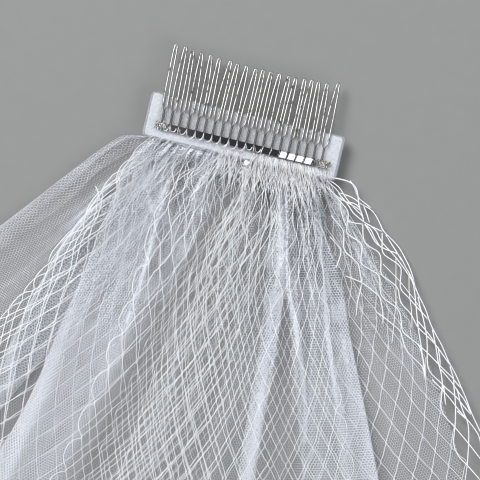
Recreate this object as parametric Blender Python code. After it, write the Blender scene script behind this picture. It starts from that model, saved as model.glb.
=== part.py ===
"""A bridal veil laid flat: two tiers of gathered tulle, each with a diamond net over it, and a wire comb.

The four cloths are gathered to the comb's width, sewn under a plush tape, and spread below it as a
fan of lapped pleats. The comb lies on the tape.

Frame: metres, +Z up, z = 0 the surface that the veil lies on. X runs along the comb's bar, +Y points
to the tips of its teeth, and the origin is on the surface, under the middle of the bar. Lengths are
written in millimetres and become metres where the meshes are made.
"""

import math
from dataclasses import dataclass
from enum import Enum

import bmesh
import bpy
import numpy as np
from mathutils import Matrix, Vector

MM = 0.001

# ---------------------------------------------------------------------------------- driving sizes (mm)
GAP = 0.3  # between cloths under the tape, and at each seam
LAP_GAP = 0.6  # between what lies on each other below the tape
CLOTH = 1.0  # thickness of every cloth wall
HEADING_LEFT, HEADING_RIGHT = -40.0, 42.5  # the gathered width, along the bar
HEADING_Y = -5.5  # where the cloth comes out from under the tape
VEIL_LENGTH = 600.0  # lower tier, from the tape's edge to the hem
TIER_STEP = 45.0  # how much shorter the upper tier is
NET_STEP = 8.0  # how much shorter a net is than the tulle under it
CORNER_RADIUS = 62.0  # rounded lower corners of each cloth
CORNER_SHARE = 0.11  # the part of the fan's width that a corner takes

FAN_LEFT_DEG, FAN_RIGHT_DEG = -41.0, 35.0  # directions of the side edges, from straight down
LEFT_FLARE_DEG, LEFT_FLARE_RUN, LEFT_FLARE_POWER = 40.0, 7.0, 10
RIGHT_FLARE_DEG, RIGHT_FLARE_RUN, RIGHT_FLARE_POWER = 17.0, 78.0, 5
DRAW_IN_START, DRAW_IN_END, DRAW_IN_SHARE = 140.0, 560.0, 0.93  # the rays turn back to straight down
RAY_STEPS = 48

RISE_AT = 8.0  # distance from the tape where the pleats have risen but hardly lap yet
FULL_LAP_AT = 58.0  # distance from the tape where they lap by their whole width
LEAST_LAP, LEAST_EDGE_LAP = 2.4, 3.8
LAP_EASE_START, LAP_EASE_END, LAP_LEFT_AT_HEM = 140.0, 520.0, 0.25
FLAT_SPREAD = 3.5  # under the tape, what will lap lies side by side over this width
SIDE_INSET = 1.0  # from the fan's side edge to a cloth's own edge under the tape

BAND_LEFT, BAND_RIGHT = -42.6, 43.0
BAND_LOW, BAND_HIGH = -5.5, 13.4
BAND_THICKNESS, BAND_CORNER = 2.2, 2.6

BAR_LENGTH, BAR_WIDTH, BAR_THICKNESS = 78.0, 3.1, 0.8
WIRE = 0.7
TOOTH_COUNT, TOOTH_PITCH = 20, 3.78
STEM_LENGTH, FORK_LENGTH, TOOTH_LENGTH = 6.0, 4.4, 35.2
STEM_WIDTH, FORK_WIDTH, TIP_WIDTH = 1.0, 2.3, 1.7
STEM_INTO_FORK = 0.55
STEM_SIDES, BEND_SIDES = 6, 5
TIP_TURN = 0.7  # in radians, where the tip's bend has its middle point
TOOTH_DROP = 3.2  # how much lower the tips lie than the bar
TOOTH_LEAN_DEG = 1.1  # the teeth lean a little to either side
COIL_LENGTH, COIL_WIDTH, COIL_HEIGHT = 5.6, 4.6, 2.4
BEAD_DIAMETER, BEAD_X, BEAD_LIFT = 2.8, 4.2, 0.1

TAPE_BOTTOM = 4 * (CLOTH + GAP)
BAR_MIDDLE_Z = TAPE_BOTTOM + BAND_THICKNESS + GAP + COIL_HEIGHT / 2.0

# Distances from the tape's edge at which each cloth's section is worked out. The first two lie flat.
STATIONS = (-13.0, 2.5, RISE_AT, 14.0, 22.0, 32.0, 44.0, 58.0, 78.0, 102.0, 132.0, 170.0, 225.0, 300.0,
            390.0, 490.0, VEIL_LENGTH)


class Cloth(Enum):
    """The four cloths, from the lowest up: the number is the order under the tape."""

    LOWER_TULLE = 0
    LOWER_NET = 1
    UPPER_TULLE = 2
    UPPER_NET = 3


@dataclass(frozen=True)
class Line:
    """A fold or an edge that runs down the veil: its X at three depths below the bar."""

    at_5: float
    at_60: float
    at_130: float


@dataclass(frozen=True)
class Panel:
    """The cloth between two lines; the order in which panels lie on each other; its columns of points."""

    cloth: Cloth
    start: str
    end: str
    order: int
    columns: int


@dataclass(frozen=True)
class Finish:
    """The plain look of a piece."""

    colour: tuple
    roughness: float
    metallic: float


LINE_DEPTHS = (5.0, 60.0, 130.0)
LINES = {
    # lower tulle
    "lower_tulle_strip": Line(-34.0, -84.0, -143.0),
    "lower_tulle_left": Line(-40.0, -92.0, -150.0),
    "lobe_right": Line(-11.0, -39.0, -74.0),
    "lobe_left": Line(-36.0, -64.0, -80.0),
    "lower_tulle_right": Line(4.0, -14.0, -31.0),
    # lower net
    "lower_net_left": Line(-37.5, -64.5, -104.0),
    "lower_net_fold_right": Line(14.0, 10.0, 6.0),
    "lower_net_fold_left": Line(-4.0, -14.0, -26.0),
    "lower_net_right": Line(42.5, 103.0, 153.0),
    "lower_net_cut": Line(36.0, 79.0, 146.0),
    # upper tulle
    "upper_tulle_cut": Line(6.0, -12.5, -29.0),
    "upper_tulle_left": Line(-37.0, -49.5, -61.6),
    "centre_fold_right": Line(20.0, 31.4, 36.8),
    "centre_fold_left": Line(15.0, 26.4, 31.4),
    "right_fold_right": Line(35.0, 59.6, 92.4),
    "right_fold_left": Line(25.5, 34.5, 61.0),
    "upper_tulle_right": Line(39.5, 93.0, 136.0),
    # upper net
    "upper_net_left": Line(-24.0, -30.0, -40.0),
    "upper_net_fold_right": Line(13.0, 15.0, 18.0),
    "upper_net_fold_left": Line(2.0, -8.0, -14.0),
    "upper_net_right": Line(33.0, 52.0, 84.0),
}

PANELS = (
    # cloth, start, end, order, columns
    Panel(Cloth.LOWER_TULLE, "lower_tulle_strip", "lower_tulle_left", 1, 3),
    Panel(Cloth.LOWER_TULLE, "lower_tulle_left", "lobe_right", 0, 12),
    Panel(Cloth.LOWER_TULLE, "lobe_right", "lobe_left", 2, 5),
    Panel(Cloth.LOWER_TULLE, "lobe_left", "lower_tulle_right", 3, 11),
    Panel(Cloth.LOWER_NET, "lower_net_left", "lower_net_fold_right", 4, 14),
    Panel(Cloth.LOWER_NET, "lower_net_fold_right", "lower_net_fold_left", 5, 5),
    Panel(Cloth.LOWER_NET, "lower_net_fold_left", "lower_net_right", 6, 14),
    Panel(Cloth.LOWER_NET, "lower_net_right", "lower_net_cut", 16, 5),
    Panel(Cloth.UPPER_TULLE, "upper_tulle_cut", "upper_tulle_left", 7, 4),
    Panel(Cloth.UPPER_TULLE, "upper_tulle_left", "centre_fold_right", 10, 16),
    Panel(Cloth.UPPER_TULLE, "centre_fold_right", "centre_fold_left", 11, 2),
    Panel(Cloth.UPPER_TULLE, "centre_fold_left", "right_fold_right", 12, 9),
    Panel(Cloth.UPPER_TULLE, "right_fold_right", "right_fold_left", 9, 5),
    Panel(Cloth.UPPER_TULLE, "right_fold_left", "upper_tulle_right", 8, 9),
    Panel(Cloth.UPPER_NET, "upper_net_left", "upper_net_fold_right", 13, 10),
    Panel(Cloth.UPPER_NET, "upper_net_fold_right", "upper_net_fold_left", 14, 5),
    Panel(Cloth.UPPER_NET, "upper_net_fold_left", "upper_net_right", 15, 13),
)

# How the cloths lie on each other. The grid holds shares of the fan's width.
GRID = np.linspace(-0.05, 1.05, 881)
SPREAD_NEAR, SPREAD_FAR = 0.062, 0.08  # a cloth clears what is under it by this share of the width
SPREAD_START, SPREAD_END = 60.0, 330.0
SMOOTHING = 0.012
BULGE_SHARE, LARGEST_BULGE = 0.55, 1.1  # how far a crease rounds out, for the height that it turns through
MOST_MITRE = 1.3  # the wall's thickness at a crease, of its thickness elsewhere
SAME_THREAD = 0.01
LEAST_STEP, STEEPEST = 0.6, 1.73
STANDING_EDGE = 2.6  # how high a folded-back edge stands where it starts to fold
STANDING_ROOM = 1.2  # what lies on an upright panel clears it by this much more
CORNER_CLEARANCE = 1.2  # from the corners of an upright panel to its own points
CORNER_INSET = 0.7  # from an upright panel to the points of its neighbours
NEAR_RIPPLE, FAR_RIPPLE = 1.2, 2.4  # height of the gathers near the tape, and of the waves lower down
NEAR_COUNT, FAR_COUNT = 13.0, 6.0
RIPPLE = {  # how much of the height each cloth has, and where its waves start
    Cloth.LOWER_TULLE: (1.0, 0.3),
    Cloth.LOWER_NET: (0.5, 1.9),
    Cloth.UPPER_TULLE: (0.8, 3.4),
    Cloth.UPPER_NET: (0.5, 5.1),
}
SHORTER = {
    Cloth.LOWER_TULLE: 0.0,
    Cloth.LOWER_NET: NET_STEP,
    Cloth.UPPER_TULLE: TIER_STEP,
    Cloth.UPPER_NET: TIER_STEP + NET_STEP,
}

FINISHES = {
    "tulle": Finish((0.86, 0.88, 0.92), 0.7, 0.0),
    "net": Finish((0.93, 0.94, 0.96), 0.6, 0.0),
    "plush": Finish((0.9, 0.9, 0.92), 0.9, 0.0),
    "wire": Finish((0.75, 0.75, 0.76), 0.2, 1.0),
    "bead": Finish((0.92, 0.92, 0.93), 0.15, 0.0),
}


# --------------------------------------------------------------------------------------- the fan's plan
def smoothstep(value):
    """Eases from 0 to 1 as the value goes from 0 to 1."""
    clipped = np.clip(value, 0.0, 1.0)
    return clipped * clipped * (3.0 - 2.0 * clipped)


def ray_angle(across, run):
    """The direction of the thread at this share of the fan's width, after this run from the tape."""
    degrees = FAN_LEFT_DEG + (FAN_RIGHT_DEG - FAN_LEFT_DEG) * across
    degrees = degrees - LEFT_FLARE_DEG * (1.0 - across) ** LEFT_FLARE_POWER * np.exp(-run / LEFT_FLARE_RUN)
    degrees = degrees + RIGHT_FLARE_DEG * across**RIGHT_FLARE_POWER * np.exp(-((run / RIGHT_FLARE_RUN) ** 2))
    draw_in = smoothstep((run - DRAW_IN_START) / (DRAW_IN_END - DRAW_IN_START))
    return np.radians(degrees * (1.0 - DRAW_IN_SHARE * draw_in))


def fan_point(across, run):
    """The plan position of a thread (0 the left edge, 1 the right) at a run from the tape, in mm."""
    across = np.atleast_1d(np.asarray(across, float))
    run = np.broadcast_to(np.asarray(run, float), across.shape)
    out = np.maximum(run, 0.0)
    steps = np.linspace(0.0, 1.0, RAY_STEPS + 1)[:, None] * out
    angles = ray_angle(across, steps)
    weights = np.ones(RAY_STEPS + 1)
    weights[[0, -1]] = 0.5
    length = out / RAY_STEPS
    x = HEADING_LEFT + (HEADING_RIGHT - HEADING_LEFT) * across + weights @ np.sin(angles) * length
    y = HEADING_Y - weights @ np.cos(angles) * length - np.minimum(run, 0.0)
    return x, y


def section_width(run):
    """The width in mm of the whole fan at this run, along its section."""
    x, y = fan_point(np.linspace(0.0, 1.0, 41), run)
    return float(np.hypot(np.diff(x), np.diff(y)).sum())


def line_knots(line):
    """The line's threads and runs at its three depths."""
    threads = np.linspace(0.0, 1.0, 201)
    found = []
    for depth, wanted in zip(LINE_DEPTHS, (line.at_5, line.at_60, line.at_130)):
        runs = np.zeros_like(threads)
        for _ in range(12):
            x, y = fan_point(threads, runs)
            runs = np.maximum(runs + (y + depth), 0.0)
        x, _y = fan_point(threads, runs)
        found.append((float(np.interp(wanted, x, threads)), float(np.interp(wanted, x, runs))))
    return found


KNOTS = {name: line_knots(line) for name, line in LINES.items()}


def line_at(name, run):
    """The thread that a line follows at this run."""
    knots = KNOTS[name]
    return float(np.interp(run, [run_ for _, run_ in knots], [thread for thread, _ in knots]))


# -------------------------------------------------------------------------------------- pleats in plan
def panels_of(cloth):
    """The cloth's panels, from its left edge to its right."""
    return [panel for panel in PANELS if panel.cloth is cloth]


def backward_panels(cloth):
    """Which of the cloth's panels run back under or over the one before."""
    ends = [[line_at(name, FULL_LAP_AT) for name in (panel.start, panel.end)] for panel in panels_of(cloth)]
    return [index for index, (start, end) in enumerate(ends) if end < start]


def lap_share(run):
    """How much of its full lap a pleat has at this run."""
    opening = smoothstep((run - RISE_AT) / (FULL_LAP_AT - RISE_AT))
    closing = smoothstep((run - LAP_EASE_START) / (LAP_EASE_END - LAP_EASE_START))
    return float(opening * (1.0 - (1.0 - LAP_LEFT_AT_HEM) * closing))


def turning_threads(cloth, run):
    """The threads at which the cloth's path starts, turns back and ends, at this run."""
    panels = panels_of(cloth)
    width = section_width(max(run, 0.0))
    spread, inset = FLAT_SPREAD / width, SIDE_INSET / width
    threads = [line_at(panels[0].start, run)] + [line_at(panel.end, run) for panel in panels]
    last = len(threads) - 1
    for index in range(last):
        lap = threads[index] - threads[index + 1]
        if lap <= 0.0:
            continue
        if run == RISE_AT:
            lap = 0.0
        else:
            least = LEAST_LAP if 0 < index < last - 1 else LEAST_EDGE_LAP
            lap = max(lap * lap_share(run), least / width) if run > RISE_AT else -spread
        if index == 0:
            threads[0] = max(threads[1] + lap, inset)
            threads[1] = threads[0] - lap
        elif index + 1 == last:
            threads[last] = min(threads[last - 1] - lap, 1.0 - inset)
            threads[last - 1] = threads[last] + lap
        else:
            middle = (threads[index] + threads[index + 1]) / 2.0
            threads[index], threads[index + 1] = middle + lap / 2.0, middle - lap / 2.0
    return threads


def hem_run(cloth, across, run):
    """The run with the cloth's own length and rounded corners, eased in towards the hem."""
    threads = turning_threads(cloth, VEIL_LENGTH)
    reach = np.minimum(across - min(threads), max(threads) - across) / CORNER_SHARE
    corner = CORNER_RADIUS * (1.0 - np.sqrt(1.0 - (1.0 - np.clip(reach, 0.0, 1.0)) ** 2))
    return run - (SHORTER[cloth] + corner) * np.clip(run / VEIL_LENGTH, 0.0, 1.0) ** 3


# ------------------------------------------------------------------------------------- heights of cloth
def window(values, reach):
    """For each place of the grid, the values within the reach."""
    size = int(round(reach / (GRID[1] - GRID[0])))
    return np.lib.stride_tricks.sliding_window_view(np.pad(values, size, mode="edge"), 2 * size + 1)


def ripple(cloth, across, run):
    """The low waves of a cloth: close gathers that fade below the tape, then a few broad ones."""
    if across[-1] < across[0]:  # the hidden panel of a pleat lies smooth
        return np.zeros_like(across)
    share, phase = RIPPLE[cloth]
    near = NEAR_RIPPLE * smoothstep((run - 4.0) / 10.0) * (1.0 - smoothstep((run - 30.0) / 60.0))
    far = FAR_RIPPLE * smoothstep((run - 50.0) / 100.0) * (1.0 - 0.5 * smoothstep((run - 350.0) / 250.0))
    close = np.clip(np.sin(2.0 * math.pi * NEAR_COUNT * across + phase), 0.0, 1.0)
    broad = np.clip(np.sin(2.0 * math.pi * FAR_COUNT * across + 1.7 * phase), 0.0, 1.0)
    return share * (near * close + far * broad**1.5)


def draped(top, panel, threads, run, width):
    """The middle heights of a panel that lies on what the top grid holds."""
    spread = SPREAD_NEAR + (SPREAD_FAR - SPREAD_NEAR) * smoothstep(
        (run - SPREAD_START) / (SPREAD_END - SPREAD_START)
    )
    under = window(window(top, float(spread)).max(axis=1), SMOOTHING).mean(axis=1)
    slope = np.gradient(under, (GRID[1] - GRID[0]) * width)
    lift = np.where(under > 0.0, LAP_GAP, 0.0) + CLOTH / 2.0 * np.sqrt(1.0 + slope**2)
    return np.interp(threads, GRID, under + lift) + ripple(panel.cloth, threads, run)


def raised(top, across, heights):
    """The top grid with a panel's upper side laid into it."""
    order = np.argsort(across)
    across, heights = np.asarray(across)[order], np.asarray(heights)[order]
    reach = 2.0 * (GRID[1] - GRID[0])
    inside = (GRID >= across[0] - reach) & (GRID <= across[-1] + reach)
    return np.where(inside, np.maximum(top, np.interp(GRID, across, heights)), top)


@dataclass
class Section:
    """A cloth's path across one station: shares of the fan's width, and middle heights in mm."""

    across: list
    height: list


def stood_up(cloth, paths, width):
    """The paths with each panel that will run back standing upright where it starts to fold."""
    panels = panels_of(cloth)
    result = list(paths)
    for index in backward_panels(cloth):
        threads, heights = paths[index]
        if 0 < index < len(paths) - 1:
            first, last = paths[index - 1][1][-1], paths[index + 1][1][0]
            result[index - 1][0][-1] -= CORNER_INSET / width
            result[index + 1][0][0] += CORNER_INSET / width
        else:
            beside = 1 if index == 0 else index - 1
            fold = paths[beside][1][0 if index == 0 else -1]
            on_top = panels[index].order > panels[beside].order
            edge = max(heights[0], fold + STANDING_EDGE) if on_top else heights[0]
            first, last = (edge, fold) if index == 0 else (fold, edge)
        direction = math.copysign(1.0, last - first)
        start = first + direction * CORNER_CLEARANCE * (index > 0)
        end = last - direction * CORNER_CLEARANCE * (index < len(paths) - 1)
        result[index] = (threads, np.linspace(start, end, len(heights)))
    return result


def joined(panel_paths, width):
    """One path through the panels, with a rounded crease point between each two."""
    section = Section([], [])
    for index, (threads, heights) in enumerate(panel_paths):
        if index:
            before, after = section.height[-1], heights[0]
            outward = section.across[-1] - section.across[-2]
            bulge = math.copysign(min(BULGE_SHARE * abs(after - before), LARGEST_BULGE), outward)
            if min(abs(outward), abs(threads[1] - threads[0])) * width < SAME_THREAD:
                bulge = 0.0
            section.across.append((section.across[-1] + threads[0]) / 2.0 + bulge / width)
            section.height.append((before + after) / 2.0)
        section.across += list(threads)
        section.height += list(heights)
    return section


def flat_sections(run):
    """Every cloth under the tape: flat, each on the one below."""
    sections = {}
    for cloth in Cloth:
        turns = turning_threads(cloth, run)
        level = CLOTH / 2.0 + cloth.value * (CLOTH + GAP)
        paths = []
        for index, panel in enumerate(panels_of(cloth)):
            step = (turns[index + 1] - turns[index]) / (panel.columns + 1)
            threads = np.linspace(turns[index] + 0.5 * step, turns[index + 1] - 0.5 * step, panel.columns + 1)
            paths.append((threads, np.full(panel.columns + 1, level)))
        sections[cloth] = joined(paths, section_width(0.0))
    return sections


def lapped_sections(run):
    """Every cloth's path across a station, the panels laid on each other in their order."""
    top = np.zeros_like(GRID)
    width = section_width(run)
    turns = {cloth: turning_threads(cloth, run) for cloth in Cloth}
    laid = {}
    for panel in sorted(PANELS, key=lambda each: each.order):
        index = panels_of(panel.cloth).index(panel)
        threads = np.linspace(*turns[panel.cloth][index : index + 2], panel.columns + 1)
        heights = draped(top, panel, threads, run, width)
        steps = np.maximum(np.abs(np.gradient(threads)) * width, LEAST_STEP)
        slope = np.minimum(np.abs(np.gradient(heights) / steps), STEEPEST)
        laid[panel.cloth, index] = (threads, heights)
        room = STANDING_ROOM if run == RISE_AT and index in backward_panels(panel.cloth) else 0.0
        top = raised(top, threads, heights + room + CLOTH / 2.0 * np.hypot(1.0, slope))
    sections = {}
    for cloth in Cloth:
        paths = [laid[cloth, index] for index in range(len(panels_of(cloth)))]
        if run == RISE_AT:
            paths = stood_up(cloth, paths, width)
        sections[cloth] = joined(paths, width)
    return sections


# -------------------------------------------------------------------------------------------- meshes
def plain_mesh(name, model, scale=1.0):
    """The finished mesh of a model, with the model freed."""
    bmesh.ops.scale(model, vec=Vector((scale, scale, scale)), verts=model.verts)
    mesh = bpy.data.meshes.new(name)
    model.to_mesh(mesh)
    model.free()
    return mesh


def add_object(name, mesh, finish):
    """Links the mesh as an object with a material of its own."""
    look = FINISHES[finish]
    material = bpy.data.materials.new(name)
    material.use_nodes = True
    shader = material.node_tree.nodes["Principled BSDF"]
    shader.inputs["Base Color"].default_value = (*look.colour, 1.0)
    shader.inputs["Roughness"].default_value = look.roughness
    shader.inputs["Metallic"].default_value = look.metallic
    mesh.materials.append(material)
    mesh.shade_smooth()
    obj = bpy.data.objects.new(name, mesh)
    bpy.context.scene.collection.objects.link(obj)
    return obj


def offsets(across, height, width):
    """At each point of a path, half the cloth's thickness square to it: along the section and up."""
    path = np.column_stack([np.asarray(across) * width, height])
    edges = np.diff(path, axis=0)
    edges /= np.maximum(np.linalg.norm(edges, axis=1, keepdims=True), 1e-9)
    normals = np.column_stack([-edges[:, 1], edges[:, 0]])
    before, after = np.vstack([normals[:1], normals]), np.vstack([normals, normals[-1:]])
    middle = before + after
    middle /= np.maximum(np.linalg.norm(middle, axis=1, keepdims=True), 1e-9)
    reach = np.clip(np.einsum("ij,ij->i", middle, before), 1.0 / MOST_MITRE, 1.0)
    return middle * (CLOTH / 2.0 / reach)[:, None]


def trimmed(cloth, sections):
    """The cloth's paths drawn up to its own length and corners, along the surface that they lie on."""
    across = np.array([section[cloth].across for section in sections])
    height = np.array([section[cloth].height for section in sections])
    runs = np.array([hem_run(cloth, threads, run) for threads, run in zip(across, STATIONS)])
    for grid in (across, height):
        grid[:] = np.column_stack([np.interp(run, STATIONS, values) for run, values in zip(runs.T, grid.T)])
    return across, height, runs


def wall_rows(cloth, sections):
    """The two sides of a cloth's wall: one row of points for each station."""
    sides = ([], [])
    for across, height, runs, station in zip(*trimmed(cloth, sections), STATIONS):
        width = section_width(max(station, 0.0))
        shift = offsets(across, height, width)
        for side, sign in zip(sides, (1.0, -1.0)):
            x, y = fan_point(across + sign * shift[:, 0] / width, runs)
            z = np.maximum(height + sign * shift[:, 1], 0.0)
            side.append([(float(a) * MM, float(b) * MM, float(c) * MM) for a, b, c in zip(x, y, z)])
    return sides


def cloth_wall(cloth, sections):
    """The closed wall of one cloth."""
    model = bmesh.new()
    sides = wall_rows(cloth, sections)
    upper, lower = ([[model.verts.new(point) for point in row] for row in side] for side in sides)
    rows, columns = len(upper), len(upper[0])
    for row in range(rows - 1):
        for column in range(columns - 1):
            near, far = (row, column), (row + 1, column + 1)
            for corners in ((near, (row + 1, column), far), (near, far, (row, column + 1))):
                model.faces.new([upper[a][b] for a, b in corners])
                model.faces.new([lower[a][b] for a, b in reversed(corners)])
    around = [(0, column) for column in range(columns)]
    around += [(row, columns - 1) for row in range(1, rows)]
    around += [(rows - 1, column) for column in range(columns - 2, -1, -1)]
    around += [(row, 0) for row in range(rows - 2, 0, -1)]
    first, second = panels_of(cloth)[:2]
    folds_over = first.order > second.order and 0 in backward_panels(cloth)
    for (a, b), (c, d) in zip(around, around[1:] + around[:1]):
        corners = [upper[a][b], upper[c][d], lower[c][d], lower[a][b]]
        turn = int(folds_over and b == d == 0)
        model.faces.new([corners[turn], corners[turn + 1], corners[turn + 2]])
        model.faces.new([corners[turn + 2], corners[(turn + 3) % 4], corners[turn]])
    name = cloth.name.lower()
    add_object(name, plain_mesh(name, model), name.split("_")[1])


def build_cloths():
    """The four cloths."""
    sections = [flat_sections(run) if run < RISE_AT else lapped_sections(run) for run in STATIONS]
    for cloth in Cloth:
        cloth_wall(cloth, sections)


# ---------------------------------------------------------------------------------------- tape and comb
def rounded_slab(name, size, centre, corner, finish):
    """A flat piece with rounded corners in plan."""
    model = bmesh.new()
    bmesh.ops.create_cube(model, size=1.0, matrix=Matrix.Diagonal((*size, 1.0)))
    upright = [edge for edge in model.edges if abs(edge.verts[0].co.z - edge.verts[1].co.z) > size[2] / 2.0]
    bmesh.ops.bevel(model, geom=upright, offset=corner, segments=5, profile=0.5, affect="EDGES")
    bmesh.ops.translate(model, vec=Vector(centre), verts=model.verts)
    add_object(name, plain_mesh(name, model, MM), finish)


def build_tape():
    """The plush tape over the gathered edge."""
    size = (BAND_RIGHT - BAND_LEFT, BAND_HIGH - BAND_LOW, BAND_THICKNESS)
    x, y = (BAND_LEFT + BAND_RIGHT) / 2.0, (BAND_LOW + BAND_HIGH) / 2.0
    rounded_slab("plush_tape", size, (x, y, TAPE_BOTTOM + BAND_THICKNESS / 2.0), BAND_CORNER, "plush")


def build_bar():
    """The flat bar, and the wire coiled round its two ends."""
    inner = BAR_LENGTH - 2.0 * COIL_LENGTH - 2.0 * GAP
    rounded_slab("comb_bar", (inner, BAR_WIDTH, BAR_THICKNESS), (0.0, 0.0, BAR_MIDDLE_Z), 0.2, "wire")
    for side, name in ((-1.0, "end_coil_left"), (1.0, "end_coil_right")):
        model = bmesh.new()
        bmesh.ops.create_cone(
            model, cap_ends=True, segments=14, radius1=0.5, radius2=0.5, depth=COIL_LENGTH,
            matrix=Matrix.Rotation(math.pi / 2.0, 4, "Y"),
        )
        bmesh.ops.scale(model, vec=Vector((1.0, COIL_WIDTH, COIL_HEIGHT)), verts=model.verts)
        middle = side * (BAR_LENGTH - COIL_LENGTH) / 2.0
        bmesh.ops.translate(model, vec=Vector((middle, 0.0, BAR_MIDDLE_Z)), verts=model.verts)
        add_object(name, plain_mesh(name, model, MM), "wire")


def tube_mesh(points, radius, sides):
    """A closed tube through the points, which lie in one plane with X across it."""
    model = bmesh.new()
    rings = []
    for index, point in enumerate(points):
        ahead = points[min(index + 1, len(points) - 1)]
        behind = points[max(index - 1, 0)]
        along = (Vector(ahead) - Vector(behind)).normalized()
        side = along.cross(Vector((0.0, 0.0, 1.0))).normalized()
        up = side.cross(along)
        ring = []
        for step in range(sides):
            turn = 2.0 * math.pi * (step + 0.5) / sides
            outward = math.cos(turn) * side + math.sin(turn) * up
            ring.append(model.verts.new(Vector(point) + radius * outward))
        rings.append(ring)
    for low, high in zip(rings, rings[1:]):
        for step in range(sides):
            following = (step + 1) % sides
            model.faces.new([low[step], low[following], high[following], high[step]])
    model.faces.new(list(reversed(rings[0])))
    model.faces.new(rings[-1])
    bmesh.ops.recalc_face_normals(model, faces=model.faces)
    return model


def tooth_path():
    """The hairpin's bend, from one side of the stem's top round the tip and back, in mm."""
    half, tip = (FORK_WIDTH - WIRE) / 2.0, (TIP_WIDTH - WIRE) / 2.0
    straight = TOOTH_LENGTH - STEM_LENGTH - TIP_WIDTH / 2.0
    side = [(STEM_WIDTH / 3.0, 0.0), (half, FORK_LENGTH), ((half + tip) / 2.0, straight * 0.55)]
    side += [(tip, straight), (tip * math.cos(TIP_TURN), straight + tip * math.sin(TIP_TURN))]
    there = side + [(0.0, straight + tip)] + [(-x, y) for x, y in reversed(side)]
    return [(x, STEM_LENGTH + y, 0.0) for x, y in there]


def build_teeth():
    """Twenty wire teeth: a twisted stem that forks into a hairpin, its tip a little lower than the bar."""
    stem_points = [(0.0, 0.0, 0.0), (0.0, STEM_LENGTH + STEM_INTO_FORK, 0.0)]
    models = {
        "bend": tube_mesh(tooth_path(), WIRE / 2.0, BEND_SIDES),
        "stem": tube_mesh(stem_points, STEM_WIDTH / 2.0, STEM_SIDES),
    }
    guides = {name: bpy.data.objects.new(name, plain_mesh(name, model)) for name, model in models.items()}
    for guide in guides.values():
        bpy.context.scene.collection.objects.link(guide)
    union = guides["stem"].modifiers.new("fork", "BOOLEAN")
    union.operation = "UNION"
    union.object = guides["bend"]
    evaluated = guides["stem"].evaluated_get(bpy.context.evaluated_depsgraph_get())
    tooth_mesh = bpy.data.meshes.new_from_object(evaluated)
    for guide in guides.values():
        bpy.data.objects.remove(guide)
    tooth_mesh.transform(Matrix.Diagonal((MM, MM, MM, 1.0)))
    first = -TOOTH_PITCH * (TOOTH_COUNT - 1) / 2.0
    for index in range(TOOTH_COUNT):
        tooth = add_object(f"tooth_{index + 1:02d}", tooth_mesh.copy(), "wire")
        lean = math.radians(TOOTH_LEAN_DEG * (math.sin(2.3 * index) + 0.45 * math.sin(0.9 * index + 1.0)))
        drop = math.atan2(TOOTH_DROP, TOOTH_LENGTH)
        x = first + index * TOOTH_PITCH
        root = COIL_WIDTH if abs(x) > BAR_LENGTH / 2.0 - COIL_LENGTH else BAR_WIDTH
        tooth.location = (x * MM, (root / 2.0 + GAP) * MM, BAR_MIDDLE_Z * MM)
        tooth.rotation_euler = (-drop, 0.0, -lean)


def build_bead():
    """The small clear bead that ends the sewing, on the gathers beside the tape."""
    model = bmesh.new()
    bmesh.ops.create_uvsphere(model, u_segments=10, v_segments=6, radius=BEAD_DIAMETER / 2.0)
    y = BAND_LOW - GAP - BEAD_DIAMETER / 2.0
    place = Vector((BEAD_X, y, TAPE_BOTTOM + BEAD_LIFT + BEAD_DIAMETER / 2.0))
    bmesh.ops.translate(model, vec=place, verts=model.verts)
    add_object("knot_bead", plain_mesh("knot_bead", model, MM), "bead")


def main():
    """Builds every piece of the veil."""
    for obj in list(bpy.data.objects):
        bpy.data.objects.remove(obj)
    build_cloths()
    build_tape()
    build_bar()
    build_teeth()
    build_bead()


main()
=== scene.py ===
"""A bridal veil laid flat: two tiers of gathered tulle under diamond nets, a plush tape and a wire comb.

The tulle is modelled as fine shells that follow the same fan of lapped pleats as the solids, the nets as
real strands that lie on them, and the comb as wound wire. Sizes are in millimetres in the classes and
become metres where the meshes are made.
"""

from __future__ import annotations

import logging
import math
from dataclasses import dataclass, field
from enum import Enum
from typing import Callable, Iterable, Sequence, Union

import bpy
import numpy as np
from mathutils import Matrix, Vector

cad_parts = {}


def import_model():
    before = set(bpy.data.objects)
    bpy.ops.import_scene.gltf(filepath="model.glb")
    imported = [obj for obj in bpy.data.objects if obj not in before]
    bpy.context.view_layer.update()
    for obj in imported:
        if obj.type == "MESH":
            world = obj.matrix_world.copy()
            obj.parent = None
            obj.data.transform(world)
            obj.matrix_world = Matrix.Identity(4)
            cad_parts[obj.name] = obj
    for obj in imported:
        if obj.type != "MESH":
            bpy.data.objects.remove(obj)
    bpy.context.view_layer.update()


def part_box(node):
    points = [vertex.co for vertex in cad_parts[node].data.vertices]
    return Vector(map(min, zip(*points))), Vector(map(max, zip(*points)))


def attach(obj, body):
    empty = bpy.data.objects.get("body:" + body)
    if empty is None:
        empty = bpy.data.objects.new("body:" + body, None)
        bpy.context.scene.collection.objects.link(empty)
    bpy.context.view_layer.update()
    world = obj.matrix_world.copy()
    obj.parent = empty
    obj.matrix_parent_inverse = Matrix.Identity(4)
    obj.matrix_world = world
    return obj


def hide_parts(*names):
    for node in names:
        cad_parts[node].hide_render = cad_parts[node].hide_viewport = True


LOG = logging.getLogger("veil")
MM = 0.001
BODY = "root"
Input = Union["Shade", float, tuple]


# ------------------------------------------------------------------------------------------- shader maths
def operator(operation: str, meaning: str, swapped: bool = False) -> Callable[..., Shade]:
    """Makes an operator of Shade out of one Math node.

    Args:
        operation: the Math node's operation.
        meaning: what it gives, as the operator's docstring.
        swapped: whether the other value comes first, as in a reflected operator.

    Returns:
        The method.
    """

    def method(self: Shade, *others: Shade | float) -> Shade:
        values = (*others, self) if swapped else (self, *others)
        return self.look.node("Math", {"operation": operation}, **dict(zip(("Value", "Value_001"), values)))

    method.__doc__ = meaning
    return method


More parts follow.
